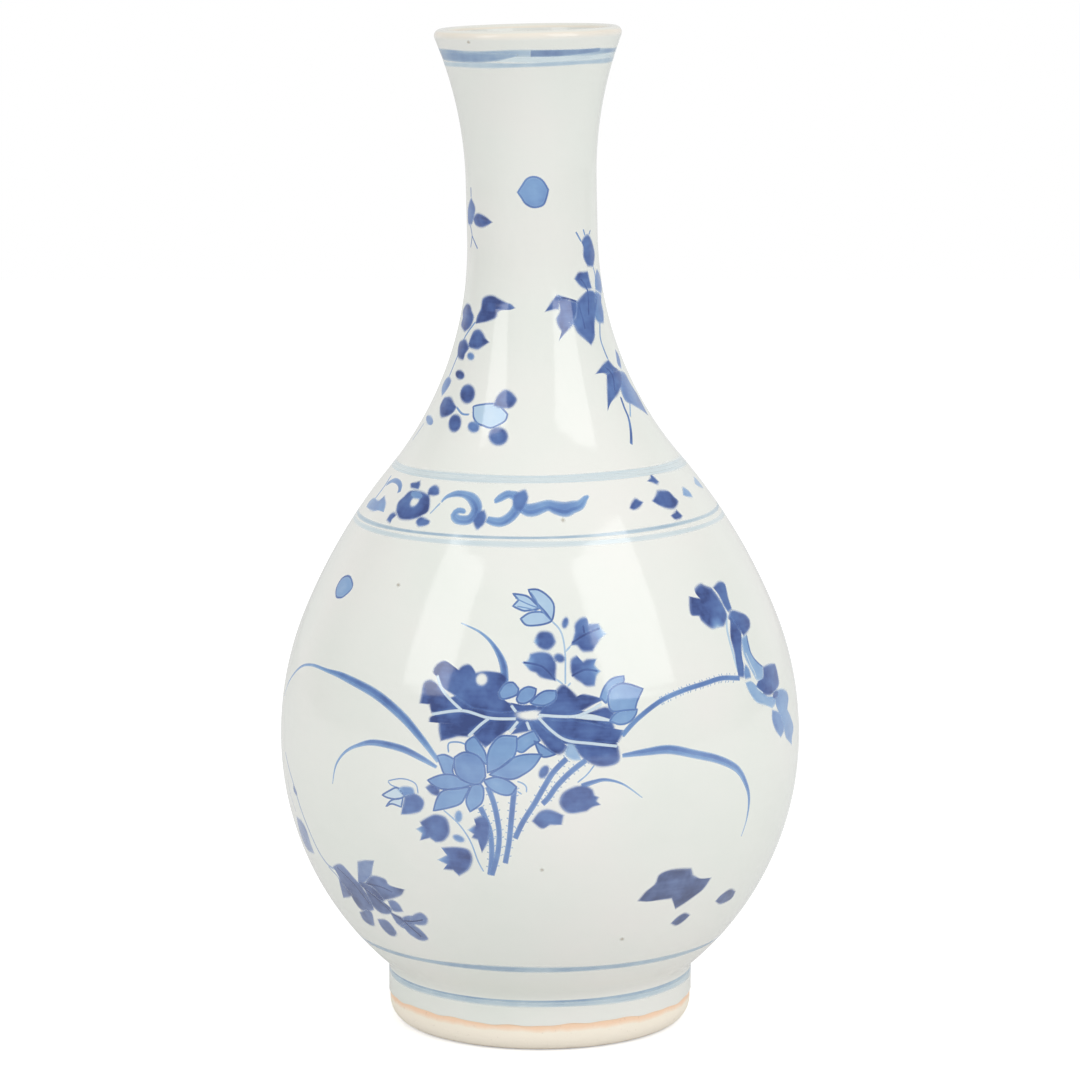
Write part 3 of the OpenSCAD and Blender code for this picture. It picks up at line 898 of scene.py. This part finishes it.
washes(side_film, (
    [(45.5, 125, tip), (47, 126), (48.5, 125.5), (49, 124.5), (49.5, 122), (50, 120.5),
        (50.5, 119, tip), (49.5, 118.5, tip), (48.5, 120), (47, 123)],
    [(50, 118.5, tip), (51, 118.5), (53, 117.5), (54.5, 116.5), (55.5, 115), (55.5, 113.5, tip),
        (54.5, 112.5), (53.5, 112, tip), (53, 113), (51.5, 114.5), (50.5, 116), (49.5, 117)],
    [(50, 117.5, tip), (53, 113, tip), (53, 110), (53, 107.5), (53.5, 105, tip), (53.5, 102, tip),
        (52, 102.5, tip), (51.5, 105.5), (51, 108.5), (50, 112.5), (50, 115.5)],
    [(59, 103, tip), (61, 103), (62.5, 102.5, tip), (63, 101), (63.5, 98.5), (63.5, 97), (62.5, 96),
        (61, 95.5, tip), (59.5, 96), (58, 97.5), (57, 99, tip), (57.5, 100, tip), (59, 100.5)],
    oval(62.5, 95, 1.6, 1.8)), 0.85, front, 1)
washes(side_film, (
    [(53, 111.5, tip), (54.5, 112, tip), (55, 109), (56, 106.5), (57.5, 104.5), (59, 103, tip),
        (59, 101), (58.5, 100), (57, 100.5, tip), (56, 102.5), (54.5, 105.5), (53.5, 108)],
    [(54, 100.5, tip), (55.5, 100.5), (57, 99), (59.5, 96), (61.5, 94, tip), (62.5, 94.5, tip),
        (62.5, 93), (61.5, 92, tip), (59.5, 93.5), (57, 95), (55, 98)]), 0.38, front, 0)
washes(side_film, (
    [(54, 105, tip), (55, 103.5), (55.5, 101.5, tip), (54, 101.5, tip), (53.5, 103)],
    [(61.5, 91.5, tip), (63.5, 90), (64.5, 87.5), (65, 85), (64, 83.5, tip), (62.5, 86), (61.5, 89)]),
    0.6, front, 0.5)
wash(side_film, [
    (62.5, 96, tip), (64.5, 95.5), (66, 94), (66.5, 92), (66, 90), (67, 87.5), (68, 84), (67.5, 81.5),
    (67.5, 79.5, tip), (66, 82), (65.5, 83), (64.5, 87), (63.5, 90), (62.5, 93)], 0.5)
stroke(side_film, [(54.5, 112), (55, 109), (56, 106.5), (57.5, 104.5), (59, 103)], 0.7, front, 2, 0.5)
for vein in ([(54, 108), (55.5, 104.5), (56.5, 102.5), (57, 101)], [(57, 98.5), (59, 96.5)]):
    stroke(side_film, vein, 0.12, front, 3, 0.5)
paint_piece("side_leaf", side_film, cobalt, "cobalt")


# A flowering branch droops round from the left, a leaf has fallen at the right, and a pale fruit
# floats at the top left. The branch and the leaf are in cobalt that fired duller and greyer.
dull_cobalt = cobalt_paint("dull_cobalt",
    (0.05, colour(212, 220, 224)), (0.4, colour(152, 172, 203)), (0.64, colour(106, 127, 173)),
    (0.85, colour(74, 90, 134)), (1, colour(58, 70, 112)))
branch = new_film()
stroke(branch, [
    (-68.5, 77), (-67.5, 73.5), (-66, 69.5), (-64, 63.5), (-61.5, 57.5), (-59, 52.5), (-56.5, 49.5),
    (-54.5, 49)], 0.42, front, 0, 0.8)
stroke(branch, [(-68, 69.5), (-67, 65), (-65.5, 61)], 0.3, front, 0, 0.6)
stroke(branch, [(-56.5, 49), (-54, 47), (-53.5, 46)], 0.4, front, 0, 0.6)
washes(branch, (
    [(-65.5, 59.5, tip), (-64, 59.5), (-62.5, 57.5), (-61.5, 54), (-60.5, 51, tip), (-62.5, 50.5),
        (-64, 52.5), (-65, 56)],
    [(-66, 69.5, tip), (-65, 67.5), (-65, 66.5, tip), (-66, 67.5)]), 0.6)
washes(branch, (
    [(-55, 49.5, tip), (-53.5, 51), (-52, 51), (-49.5, 48.5), (-47.5, 46.5), (-46, 44.5), (-44.5, 42),
        (-44, 39.5, tip), (-46, 38), (-48, 38.5), (-49.5, 40.5), (-50.5, 42.5), (-53, 44.5),
        (-53.5, 47)],
    [(-53.5, 46.5, tip), (-52.5, 45), (-50, 42.5, tip), (-50.5, 41.5), (-52.5, 40, tip), (-53, 43)],
    [(-46, 47.5, tip), (-44.5, 50), (-43, 50.5), (-40.5, 50), (-39.5, 48.5), (-35.5, 48, tip),
        (-36.5, 46), (-39, 44.5), (-41, 43.5, tip), (-43, 46), (-44.5, 47)],
    [(-46.5, 46, tip), (-45, 45), (-42.5, 43.5), (-40, 42), (-39, 41, tip), (-39.5, 39.5), (-42, 39),
        (-44, 40.5), (-45, 42.5)],
    [(-48, 37, tip), (-46, 38.5), (-44.5, 38), (-44, 34, tip), (-45, 33.5), (-47, 34.5)],
    [(-43, 36.5, tip), (-41, 37), (-39.5, 36), (-38, 33.5), (-38.5, 32, tip), (-40, 32), (-42, 34)],
    [(-39.5, 40, tip), (-38, 39.5), (-36.5, 39), (-36, 37.5), (-37.5, 36.5)]), 0.76, front, 1)
wash(branch, [
    (-48, 47), (-46, 47.5), (-43, 46), (-41, 43.5), (-42.5, 42.5), (-45, 44.5)], 0.8, front, 0.5)
washes(branch, (
    [(-48, 53.5, tip), (-46, 54.5), (-43.5, 55, tip), (-44, 52.5), (-44.5, 50), (-46, 48),
        (-48, 46, tip), (-48, 48.5), (-48, 51)],
    [(-38, 37, tip), (-35.5, 39.5), (-33.5, 40), (-32.5, 38.5), (-33.5, 36.5), (-36, 35.5)],
    [(-34, 39.5, tip), (-32.5, 41), (-31, 41.5), (-29.5, 40), (-30, 38), (-32, 37.5), (-33.5, 38)],
    [(-36, 36, tip), (-33.5, 37), (-31.5, 36), (-29.5, 33.5), (-30.5, 32.5, tip), (-32, 32.5),
        (-34.5, 34)],
    [(-40, 43.5, tip), (-38.5, 44), (-37, 43), (-36, 41, tip), (-38, 40.5), (-39, 41)]), 0.64)
for rib in (
        [(-46, 47.5), (-42, 47.5), (-38.5, 46.5)],
        [(-54, 50), (-49.5, 46.5), (-45, 41)],
        [(-46.5, 46), (-42.5, 43), (-39, 40)],
        [(-39.5, 40), (-36, 38), (-31, 33.5)],
        [(-36, 38), (-33, 38.5), (-30.5, 39.5)]):
    stroke(branch, rib, 0.95, front, 2.5, 0.5)
paint_piece("drooping_branch", branch, dull_cobalt, "cobalt")

fallen = new_film()
washes(fallen, (
    [(25.5, 46, tip), (27.5, 48.5), (30, 50.5), (31, 53), (33.5, 54), (36.5, 54), (39.5, 53.5, tip),
        (40, 51.5, tip), (42, 50), (45, 49.5, tip), (43, 46.5), (40, 44.5), (37.5, 43), (35.5, 42, tip),
        (34.5, 45.5, tip), (31, 45.5), (28, 45.5)],
    [(34.5, 37.5, tip), (36, 39), (38, 40), (39.5, 39, tip), (38, 37.5), (36, 36.5)],
    [(46.5, 41.5, tip), (48, 43), (50.5, 44), (52, 42.5, tip), (51, 40.5), (48, 40)]), 0.84)
paint_piece("fallen_leaf", fallen, dull_cobalt, "cobalt")
floating = new_film()
petal(floating, [
    (-54, 121), (-54, 123), (-52.5, 125.5), (-50.5, 126.5), (-49.5, 125), (-50, 123.5), (-52, 121.5),
    (-53, 121)], 0.44)
paint_piece("floating_fruit", floating, cobalt, "cobalt")


# Round the neck hang two sprays, one of leaves and a pale fruit, one of flowers under a bud. They are
# filled with the same wet cobalt as the bouquet, and their stalks and ribs drawn with the fine brush.
def neck_sprays(film, facing):
    """The stalks of both sprays, then the leaves and fruit at the left and the flowers at the right."""
    for stalk in (
            [(-15.5, 193), (-18, 189.5), (-19, 187.5), (-21.5, 181.5), (-23, 178)],
            [(-21, 171), (-19.5, 169.5), (-17.5, 169.5)],
            [(-33.5, 160.5), (-30, 165.5)],
            [(17.5, 192), (17.5, 188), (18.5, 184.5), (19.5, 182)],
            [(16, 206.5), (16.5, 204), (16.5, 201)],
            [(11.5, 216.5), (13, 213.5)],
            [(13.5, 217), (14, 215)],
            [(15.5, 216.5), (15, 215)]):
        stroke(film, stalk, 0.55, facing, 0, 0.6)
    petal(film, [
        (-16.5, 171), (-16.5, 171.5), (-15, 172), (-11.5, 172.5), (-9.5, 172), (-7.5, 170, tip),
        (-8, 168.5), (-9.5, 167.5), (-12, 166.5), (-14, 167), (-15.5, 167.5), (-16.5, 169)],
        0.22, facing)
    washes(film, (
        [(-15.5, 192.5, tip), (-15, 194.5), (-14, 196.5), (-13.5, 199), (-12, 200), (-10.5, 200),
            (-9.5, 199.5), (-7.5, 198.5), (-6, 198), (-5, 197, tip), (-6.5, 196.5), (-8, 196.5),
            (-9.5, 196), (-10, 194.5), (-12, 193.5), (-13.5, 193)],
        [(-19, 193.5), (-19, 195), (-18, 197), (-17, 197), (-16.5, 195.5), (-16, 194), (-17, 191.5),
            (-18.5, 190, tip), (-19, 190.5), (-19.5, 191.5)],
        [(-17.5, 186.5), (-17, 188.5), (-16, 190.5), (-14.5, 191), (-13.5, 190), (-13, 189),
            (-12, 188, tip), (-13.5, 187), (-15, 186), (-16, 186, tip)],
        [(-20.5, 183.5), (-20.5, 185), (-20, 187), (-18.5, 188), (-18, 187.5), (-17.5, 186),
            (-18.5, 184.5), (-19, 183), (-20, 183)],
        [(-25.5, 168.5, tip), (-25.5, 170.5), (-24.5, 172.5), (-23.5, 173), (-22.5, 173),
            (-21.5, 171.5), (-21, 171, tip), (-22, 169.5), (-23.5, 168.5), (-25, 168)],
        [(-11, 172, tip), (-10.5, 173.5), (-9.5, 175), (-8, 176), (-6.5, 175.5), (-5.5, 174.5),
            (-5, 173.5), (-6, 172), (-7, 171.5, tip), (-9, 171.5)],
        oval(-20, 179, 2.4, 2.2), oval(-18, 174.5, 4.8, 3.8, 70), oval(-21.5, 167, 4.4, 3.2, 70),
        oval(-10, 164.5, 5, 4.4)), 0.95, facing, 2)
    washes(film, (
        [(-23, 178, tip), (-22.5, 177), (-23.5, 175), (-25, 173, tip), (-25, 175), (-24, 177)],
        oval(-28.5, 166.5, 2, 2), oval(-17, 184, 1.8, 1.8), oval(-16.5, 166.5, 3, 2.6)), mid, facing, 2)
    washes(film, (
        [(13, 213.5, tip), (14, 215), (15, 215), (16, 212.5), (16.5, 209.5), (16, 206.5, tip),
            (14.5, 207, tip), (13.5, 209.5), (13.5, 212)],
        [(11, 204, tip), (12, 205.5), (13.5, 205.5), (14.5, 205.5, tip), (15, 203), (15.5, 201, tip),
            (14, 201, tip), (12.5, 202)],
        [(3, 196, tip), (4.5, 198), (6, 200, tip), (7, 199.5), (6.5, 196.5, tip), (5.5, 196.5)],
        [(6.5, 200, tip), (8, 199.5), (10, 198.5), (11.5, 198, tip), (11.5, 196), (11, 194),
            (10, 192, tip), (8.5, 190.5), (6.5, 188.5, tip), (7.5, 190), (6.5, 192), (6, 194),
            (7, 196)],
        [(11.5, 198, tip), (13, 199.5), (14.5, 200.5), (16, 200), (17, 198.5, tip), (16.5, 195),
            (16, 191.5), (16, 188.5), (15, 186.5, tip), (13.5, 188), (11.5, 190), (10.5, 192),
            (9.5, 193, tip), (11, 194)],
        [(16, 179, tip), (18, 181), (19.5, 182, tip), (21, 180), (22, 179), (20, 178.5),
            (19, 178.5, tip), (18, 179)],
        [(19, 178.5, tip), (20.5, 179), (22.5, 178.5), (23, 176), (22, 173.5), (20, 171.5),
            (19, 169.5, tip), (19, 172.5), (19, 175.5)]), 0.85, facing)
    washes(film, (
        [(16.5, 203.5, tip), (17, 205.5), (18, 203), (18.5, 200.5), (18, 199, tip),
            (16.5, 200.5, tip)],
        [(16.5, 200, tip), (18, 198.5), (18, 197), (18.5, 194), (18.5, 191.5, tip), (17, 192),
            (16, 194, tip)],
        [(22.5, 178.5, tip), (24, 177.5), (25.5, 174.5), (27.5, 171), (30, 166, tip), (28, 168),
            (25.5, 170, tip), (24, 171), (23, 173), (22.5, 175.5)],
        [(21.5, 184, tip), (22.5, 182), (23, 179, tip), (22, 180.5)]), 0.66, facing)
    for rib in (
            [(12, 197), (13, 193), (13.5, 190.5)],
            [(7, 199.5), (9, 199), (11.5, 198)],
            [(12.5, 204), (14, 201.5), (14.5, 199), (14.5, 194)],
            [(18.5, 180.5), (20.5, 178), (21, 174)]):
        stroke(film, rib, 0.98, facing, 2, 0.6)
    stroke(film, [
        (22.5, 172.5), (23.5, 169.5), (24.5, 167), (25, 164), (25, 160.5)], 0.78, facing, 1, 0.95)
    stroke(film, [(25, 170.5), (25, 167)], 0.4, facing, 0, 0.6)


draw_piece("neck_sprays_front", neck_sprays, front)
draw_piece("neck_sprays_back", neck_sprays, back)


# High on the neck are a pale fruit and a small flying insect, in the same cobalt. The fruit is a thin
# wash with an outline, and the insect two dark dabs with a few fine strokes.
high = new_film()
petal(high, [
    (-3.5, 227.5, tip), (-2.5, 229), (-1, 231), (1, 231.5), (3, 230.5), (4.5, 228, tip), (4, 226),
    (3, 224), (0.5, 223.5), (-1.5, 224.5), (-2.5, 226)], 0.54)
wash(high, [
    (-15.5, 220, tip), (-14.5, 221.5), (-12.5, 221), (-10.5, 219.5, tip), (-12, 218.5), (-13.5, 218),
    (-15, 218.5)], dark, level=1)
wash(high, [
    (-16, 225.5, tip), (-15, 223), (-15.5, 220), (-16, 218.5, tip), (-17, 218.5), (-17, 222)], 0.8)
for feeler in (
        [(-16, 228.5), (-16, 225.5)],
        [(-16.5, 218.5), (-16, 215.5), (-16.5, 212)],
        [(-16, 215.5), (-14.5, 212)]):
    stroke(high, feeler, 0.7, front, 0, 0.55)
paint_piece("fruit_and_insect", high, cobalt, "cobalt")


# The collar between the double lines has a flower, a running scroll and a dark seed head, in turn. All
# are painted freehand in cobalt, the scroll in three broad pulls of the brush with darker cores.
def collar_scroll(film, facing):
    """The flower at the left, the scroll in the middle, then what lies to either side of them."""
    wash(film, [
        (-38, 144, tip), (-37.5, 146), (-36, 147.5), (-34.5, 149), (-33, 149.5), (-31, 149.5),
        (-29.5, 149, tip), (-29, 148.5), (-29, 146.5), (-29.5, 145), (-31, 144), (-33, 143),
        (-35, 142.5), (-37, 142.5)], 0.9, facing, 0, bare=(-33, 147, 2.8, 2.4))
    wash(film, oval(-32.5, 148.5, 3, 1.6), 0.6, facing, 1)
    washes(film, (
        [(-34, 150, tip), (-34, 151), (-32.5, 151.5), (-31.5, 152, tip), (-31.5, 151),
            (-32, 150, tip)],
        [(-29.5, 149, tip), (-29, 150.5), (-27.5, 151.5), (-26.5, 151), (-26.5, 149.5),
            (-28, 149, tip)],
        [(-40.5, 141.5, tip), (-39.5, 143), (-38.5, 143.5, tip), (-38, 143), (-39, 142),
            (-39.5, 141, tip)],
        [(-32.5, 142.5), (-31.5, 143.5), (-30.5, 143.5), (-29, 143), (-29, 142.5), (-29.5, 142),
            (-31, 141.5), (-32, 141.5)]), 0.88, facing, 1)
    stroke(film, [(-29, 144.5, 0.4), (-27.5, 146, 0.5), (-26, 147.5, 0.7)], 0.4, facing)
    for pull in (
            [(-26, 147.5, 0.6), (-24.5, 149, 1.0), (-22, 150, 1.5), (-19.5, 150, 1.7),
                (-17.5, 149, 2.6), (-16.5, 147, 2.9), (-17.5, 145, 2.5), (-19, 144, 2.3),
                (-21.5, 144, 2.1), (-22.5, 145, 1.8), (-21.5, 146, 1.5), (-20, 146, 1.2),
                (-19.5, 145.5, 0.6)],
            [(-14, 144.5, 1.5), (-12, 144, 2.0), (-10, 144, 2.3), (-8, 145, 2.5), (-6.5, 146.5, 2.6),
                (-5.5, 148.5, 2.8), (-6, 150, 2.4), (-7.5, 150.5, 1.8), (-8.5, 150.5, 1.9),
                (-10.5, 149.5, 1.8), (-12, 148.5, 0.8)],
            [(-5.5, 148, 2), (-3.5, 147, 2.8), (-1.5, 147, 3), (2, 148, 2.5), (4, 147.5, 3),
                (6.5, 147, 3.4), (8.5, 147.5, 2.8), (10.5, 148, 2.2), (12, 149.5, 1.2),
                (13, 150, 0.4)]):
        broad = [(x, height, 1.2 * width) for x, height, width in pull]
        core = [(x, height - width / 6, width / 3) for x, height, width in pull]
        stroke(film, broad, 0.56, facing)
        stroke(film, core, 0.68, facing, 0.5)
    washes(film, (
        [(-17.5, 144, tip), (-16, 146), (-14.5, 146.5, tip), (-14, 145), (-14.5, 143.5), (-15.5, 142.5),
            (-16.5, 142)],
        [(-6.5, 150.5, tip), (-4.5, 151.5), (-3.5, 151.5), (-3, 150, tip), (-3.5, 148.5),
            (-5, 146.5, tip), (-6.5, 147), (-7, 149)]), 0.76, facing, 1)
    stroke(film, [
        (-39.5, 151.5), (-40.5, 150), (-41.5, 148.5), (-43, 146.5), (-44.5, 144.5)],
        0.45, facing, 0, 0.9)
    stroke(film, [
        (-41, 149), (-39, 150.5), (-37.5, 150.5), (-37, 149.5), (-37.5, 148)], 0.55, facing, 0, 1.5)
    wash(film, [
        (-46.5, 142.5, tip), (-46, 143.5), (-44.5, 145), (-43, 145), (-41.5, 146.5, tip), (-41, 145),
        (-41.5, 143, tip), (-43, 143), (-44.5, 142.5)], 0.55, facing)
    washes(film, (
        [(29.5, 153.5, tip), (30.5, 152.5), (31.5, 151.5, tip), (31, 151), (30, 151.5),
            (28.5, 152, tip), (29.5, 152.5)],
        [(23.5, 146.5, tip), (24, 147.5), (25, 148.5), (26, 148), (27, 147.5, tip), (26, 146.5),
            (24.5, 146)],
        [(29.5, 147.5, tip), (30.5, 148.5), (31, 149.5, tip), (32, 149.5), (34, 149), (35.5, 147.5),
            (36.5, 146.5), (36, 145.5), (35, 145), (33, 145.5), (31, 146.5)],
        [(34.5, 143.5, tip), (35.5, 144), (36, 144.5, tip), (37, 143.5), (37.5, 143, tip), (37, 142.5),
            (35.5, 142.5)]), 0.95, facing)
    wash(film, [
        (38, 147.5, tip), (38, 149), (39, 148.5), (40, 147.5), (40.5, 146.5, tip), (39, 147)],
        0.5, facing)
    wash(film, [(41.5, 150, tip), (42.5, 149), (44, 147, tip), (42.5, 148), (41.5, 149)], 0.35, facing)


draw_piece("collar_front", collar_scroll, front)
draw_piece("collar_back", collar_scroll, back)


# Two lines run close under the lip, in the same cobalt as the other lines. The brush went over them
# again: broadly at the left, palely between the two at the right, and with a dark, thinning restart.
rim_film = new_film()
band(rim_film, 263.9, 2.3, 0.53, -0.3, 0.25)
band(rim_film, 261.2, 1.8, 0.38, 0.1, -0.1)
stroke(rim_film, [
    (-24, 263.2, 2.6), (-16, 263.1, 3), (-9, 263.2, 2.4), (-2.5, 263.8, 0.6)], 0.68, level=1)
stroke(rim_film, [
    (-9, 262.6, 1.2), (6, 262.6, 2.8), (15, 262.7, 2.8), (23, 262.8, 2)], 0.22, level=-0.5)
stroke(rim_film, [(0.5, 264.1, 2), (8, 264, 2), (14, 264.1, 1.5), (19, 264.3, 1.1)], 0.8, level=2)
paint_piece("rim_lines_paint", rim_film, line_cobalt, "cobalt", "rim_lines")


# A few grains of iron in the paste burnt through the glaze in the kiln. Each left a brown speck, with
# the glaze's own gloss over it.
iron = cobalt_paint("iron",
    (0.1, colour(205, 200, 188)), (0.5, colour(150, 142, 124)), (0.9, colour(112, 104, 88)))
specks = new_film()
for x, height, width in (
        (-37, 127, 0.5), (0.5, 56.5, 0.5), (21.5, 34.5, 0.7), (6, 144.5, 0.5), (-15.5, 267.2, 0.5)):
    wash(specks, oval(x, height, width, width * 0.8), 0.45)
paint_piece("iron_specks", specks, iron, "white_glaze")


# The floor is a plain white sheet that runs out of the picture, white to the camera as in the
# photograph. What lifts it to white is seen by the camera only, so it throws no light on the vase.
floor_size = 4
floor_steps = 4
floor_glow = 0.45
floor_paint = new_material("white_floor", 0.8)
shader_input(floor_paint, "Base Color").default_value = colour(235, 235, 235)
shader_input(floor_paint, "Emission Color").default_value = colour(255, 255, 255)
seen = add_node(floor_paint, "LightPath")
lift_to_white = add_node(floor_paint, "Math", operation="MULTIPLY")
lift_to_white.inputs[1].default_value = floor_glow
link(floor_paint, seen.outputs["Is Camera Ray"], lift_to_white.inputs[0])
link(floor_paint, lift_to_white.outputs["Value"], shader_input(floor_paint, "Emission Strength"))
floor_shape = bmesh.new()
bmesh.ops.create_grid(floor_shape, x_segments=floor_steps, y_segments=floor_steps, size=floor_size / 2)
floor_mesh = bpy.data.meshes.new("floor")
floor_shape.to_mesh(floor_mesh)
floor_shape.free()
floor_mesh.materials.append(floor_paint)
floor = bpy.data.objects.new("floor", floor_mesh)
bpy.context.scene.collection.objects.link(floor)


# Two broad soft boxes light the vase, in front to the left and to the right, in a white room. The gloss
# mirrors the dark end of the room behind the camera, and a greyish backdrop at the edges of the vase.
white = (1, 1, 1, 1)
box_far = 1.25
box_glow = 2.2
room_light = 0.79
room_end = 0.25
backdrop_seen = 0.76
backdrop_from, backdrop_full = 0.45, 0.75
aim_height = 0.13
for name, side, box_up, box_wide, box_high in (
        ("soft_box_left", -54, 31, 0.49, 0.78), ("soft_box_right", 47, 33.5, 0.74, 0.88)):
    lamp = bpy.data.lights.new(name, "AREA")
    lamp.shape = "RECTANGLE"
    lamp.size, lamp.size_y = box_wide, box_high
    lamp.energy = box_glow * math.pi * box_wide * box_high
    stand = bpy.data.objects.new(name, lamp)
    side, box_up = math.radians(side), math.radians(box_up)
    stand.location = (
        box_far * math.cos(box_up) * math.sin(side),
        -box_far * math.cos(box_up) * math.cos(side),
        aim_height + box_far * math.sin(box_up))
    stand.rotation_euler = (math.pi / 2 - box_up, 0, side)
    bpy.context.scene.collection.objects.link(stand)
room = bpy.data.worlds.new("white_room")
room.use_nodes = True
soft_light = room.node_tree.nodes["Background"]
soft_light.inputs["Color"].default_value = white
soft_light.inputs["Strength"].default_value = room_light
backdrop = add_node(room, "Background", Color=white, Strength=1)
mirrored = add_node(room, "Background", Color=white)
toward = add_node(room, "SeparateXYZ")
link(room, add_node(room, "TexCoord").outputs["Generated"], toward.inputs["Vector"])
far_side = rescaled(room, toward.outputs["Y"], backdrop_from, backdrop_full, room_end, backdrop_seen)
link(room, far_side, mirrored.inputs["Strength"])


def either_light(choice, first, second):
    """The first light where the choice is 0, and the second where it is 1."""
    mix = add_node(room, "MixShader")
    link(room, choice, mix.inputs["Fac"])
    link(room, first, mix.inputs[1])
    link(room, second, mix.inputs[2])
    return mix.outputs["Shader"]


ray = add_node(room, "LightPath")
seen_white = add_node(room, "Math", operation="MAXIMUM")
link(room, ray.outputs["Is Camera Ray"], seen_white.inputs[0])
link(room, ray.outputs["Is Transmission Ray"], seen_white.inputs[1])
direct = either_light(seen_white.outputs["Value"], soft_light.outputs[0], backdrop.outputs[0])
room_seen = either_light(ray.outputs["Is Glossy Ray"], direct, mirrored.outputs[0])
link(room, room_seen, room.node_tree.nodes["World Output"].inputs["Surface"])
bpy.context.scene.world = room
bpy.context.scene.view_settings.view_transform = "Standard"


# The camera has a long lens and stands in front of the vase, a little above it and looking down on it.
# Its place was fitted to the painted rings, the foot and the outline in the photograph.
lens_mm, sensor_mm = 143.35, 36
camera_back, camera_up = 1.15, 0.3187
look_down = math.radians(9.23)
camera_data = bpy.data.cameras.new("camera")
camera_data.lens = lens_mm
camera_data.sensor_width = sensor_mm
camera = bpy.data.objects.new("camera", camera_data)
camera.location = (0, -camera_back, camera_up)
camera.rotation_euler = (math.pi / 2 - look_down, 0, 0)
bpy.context.scene.collection.objects.link(camera)
bpy.context.scene.camera = camera
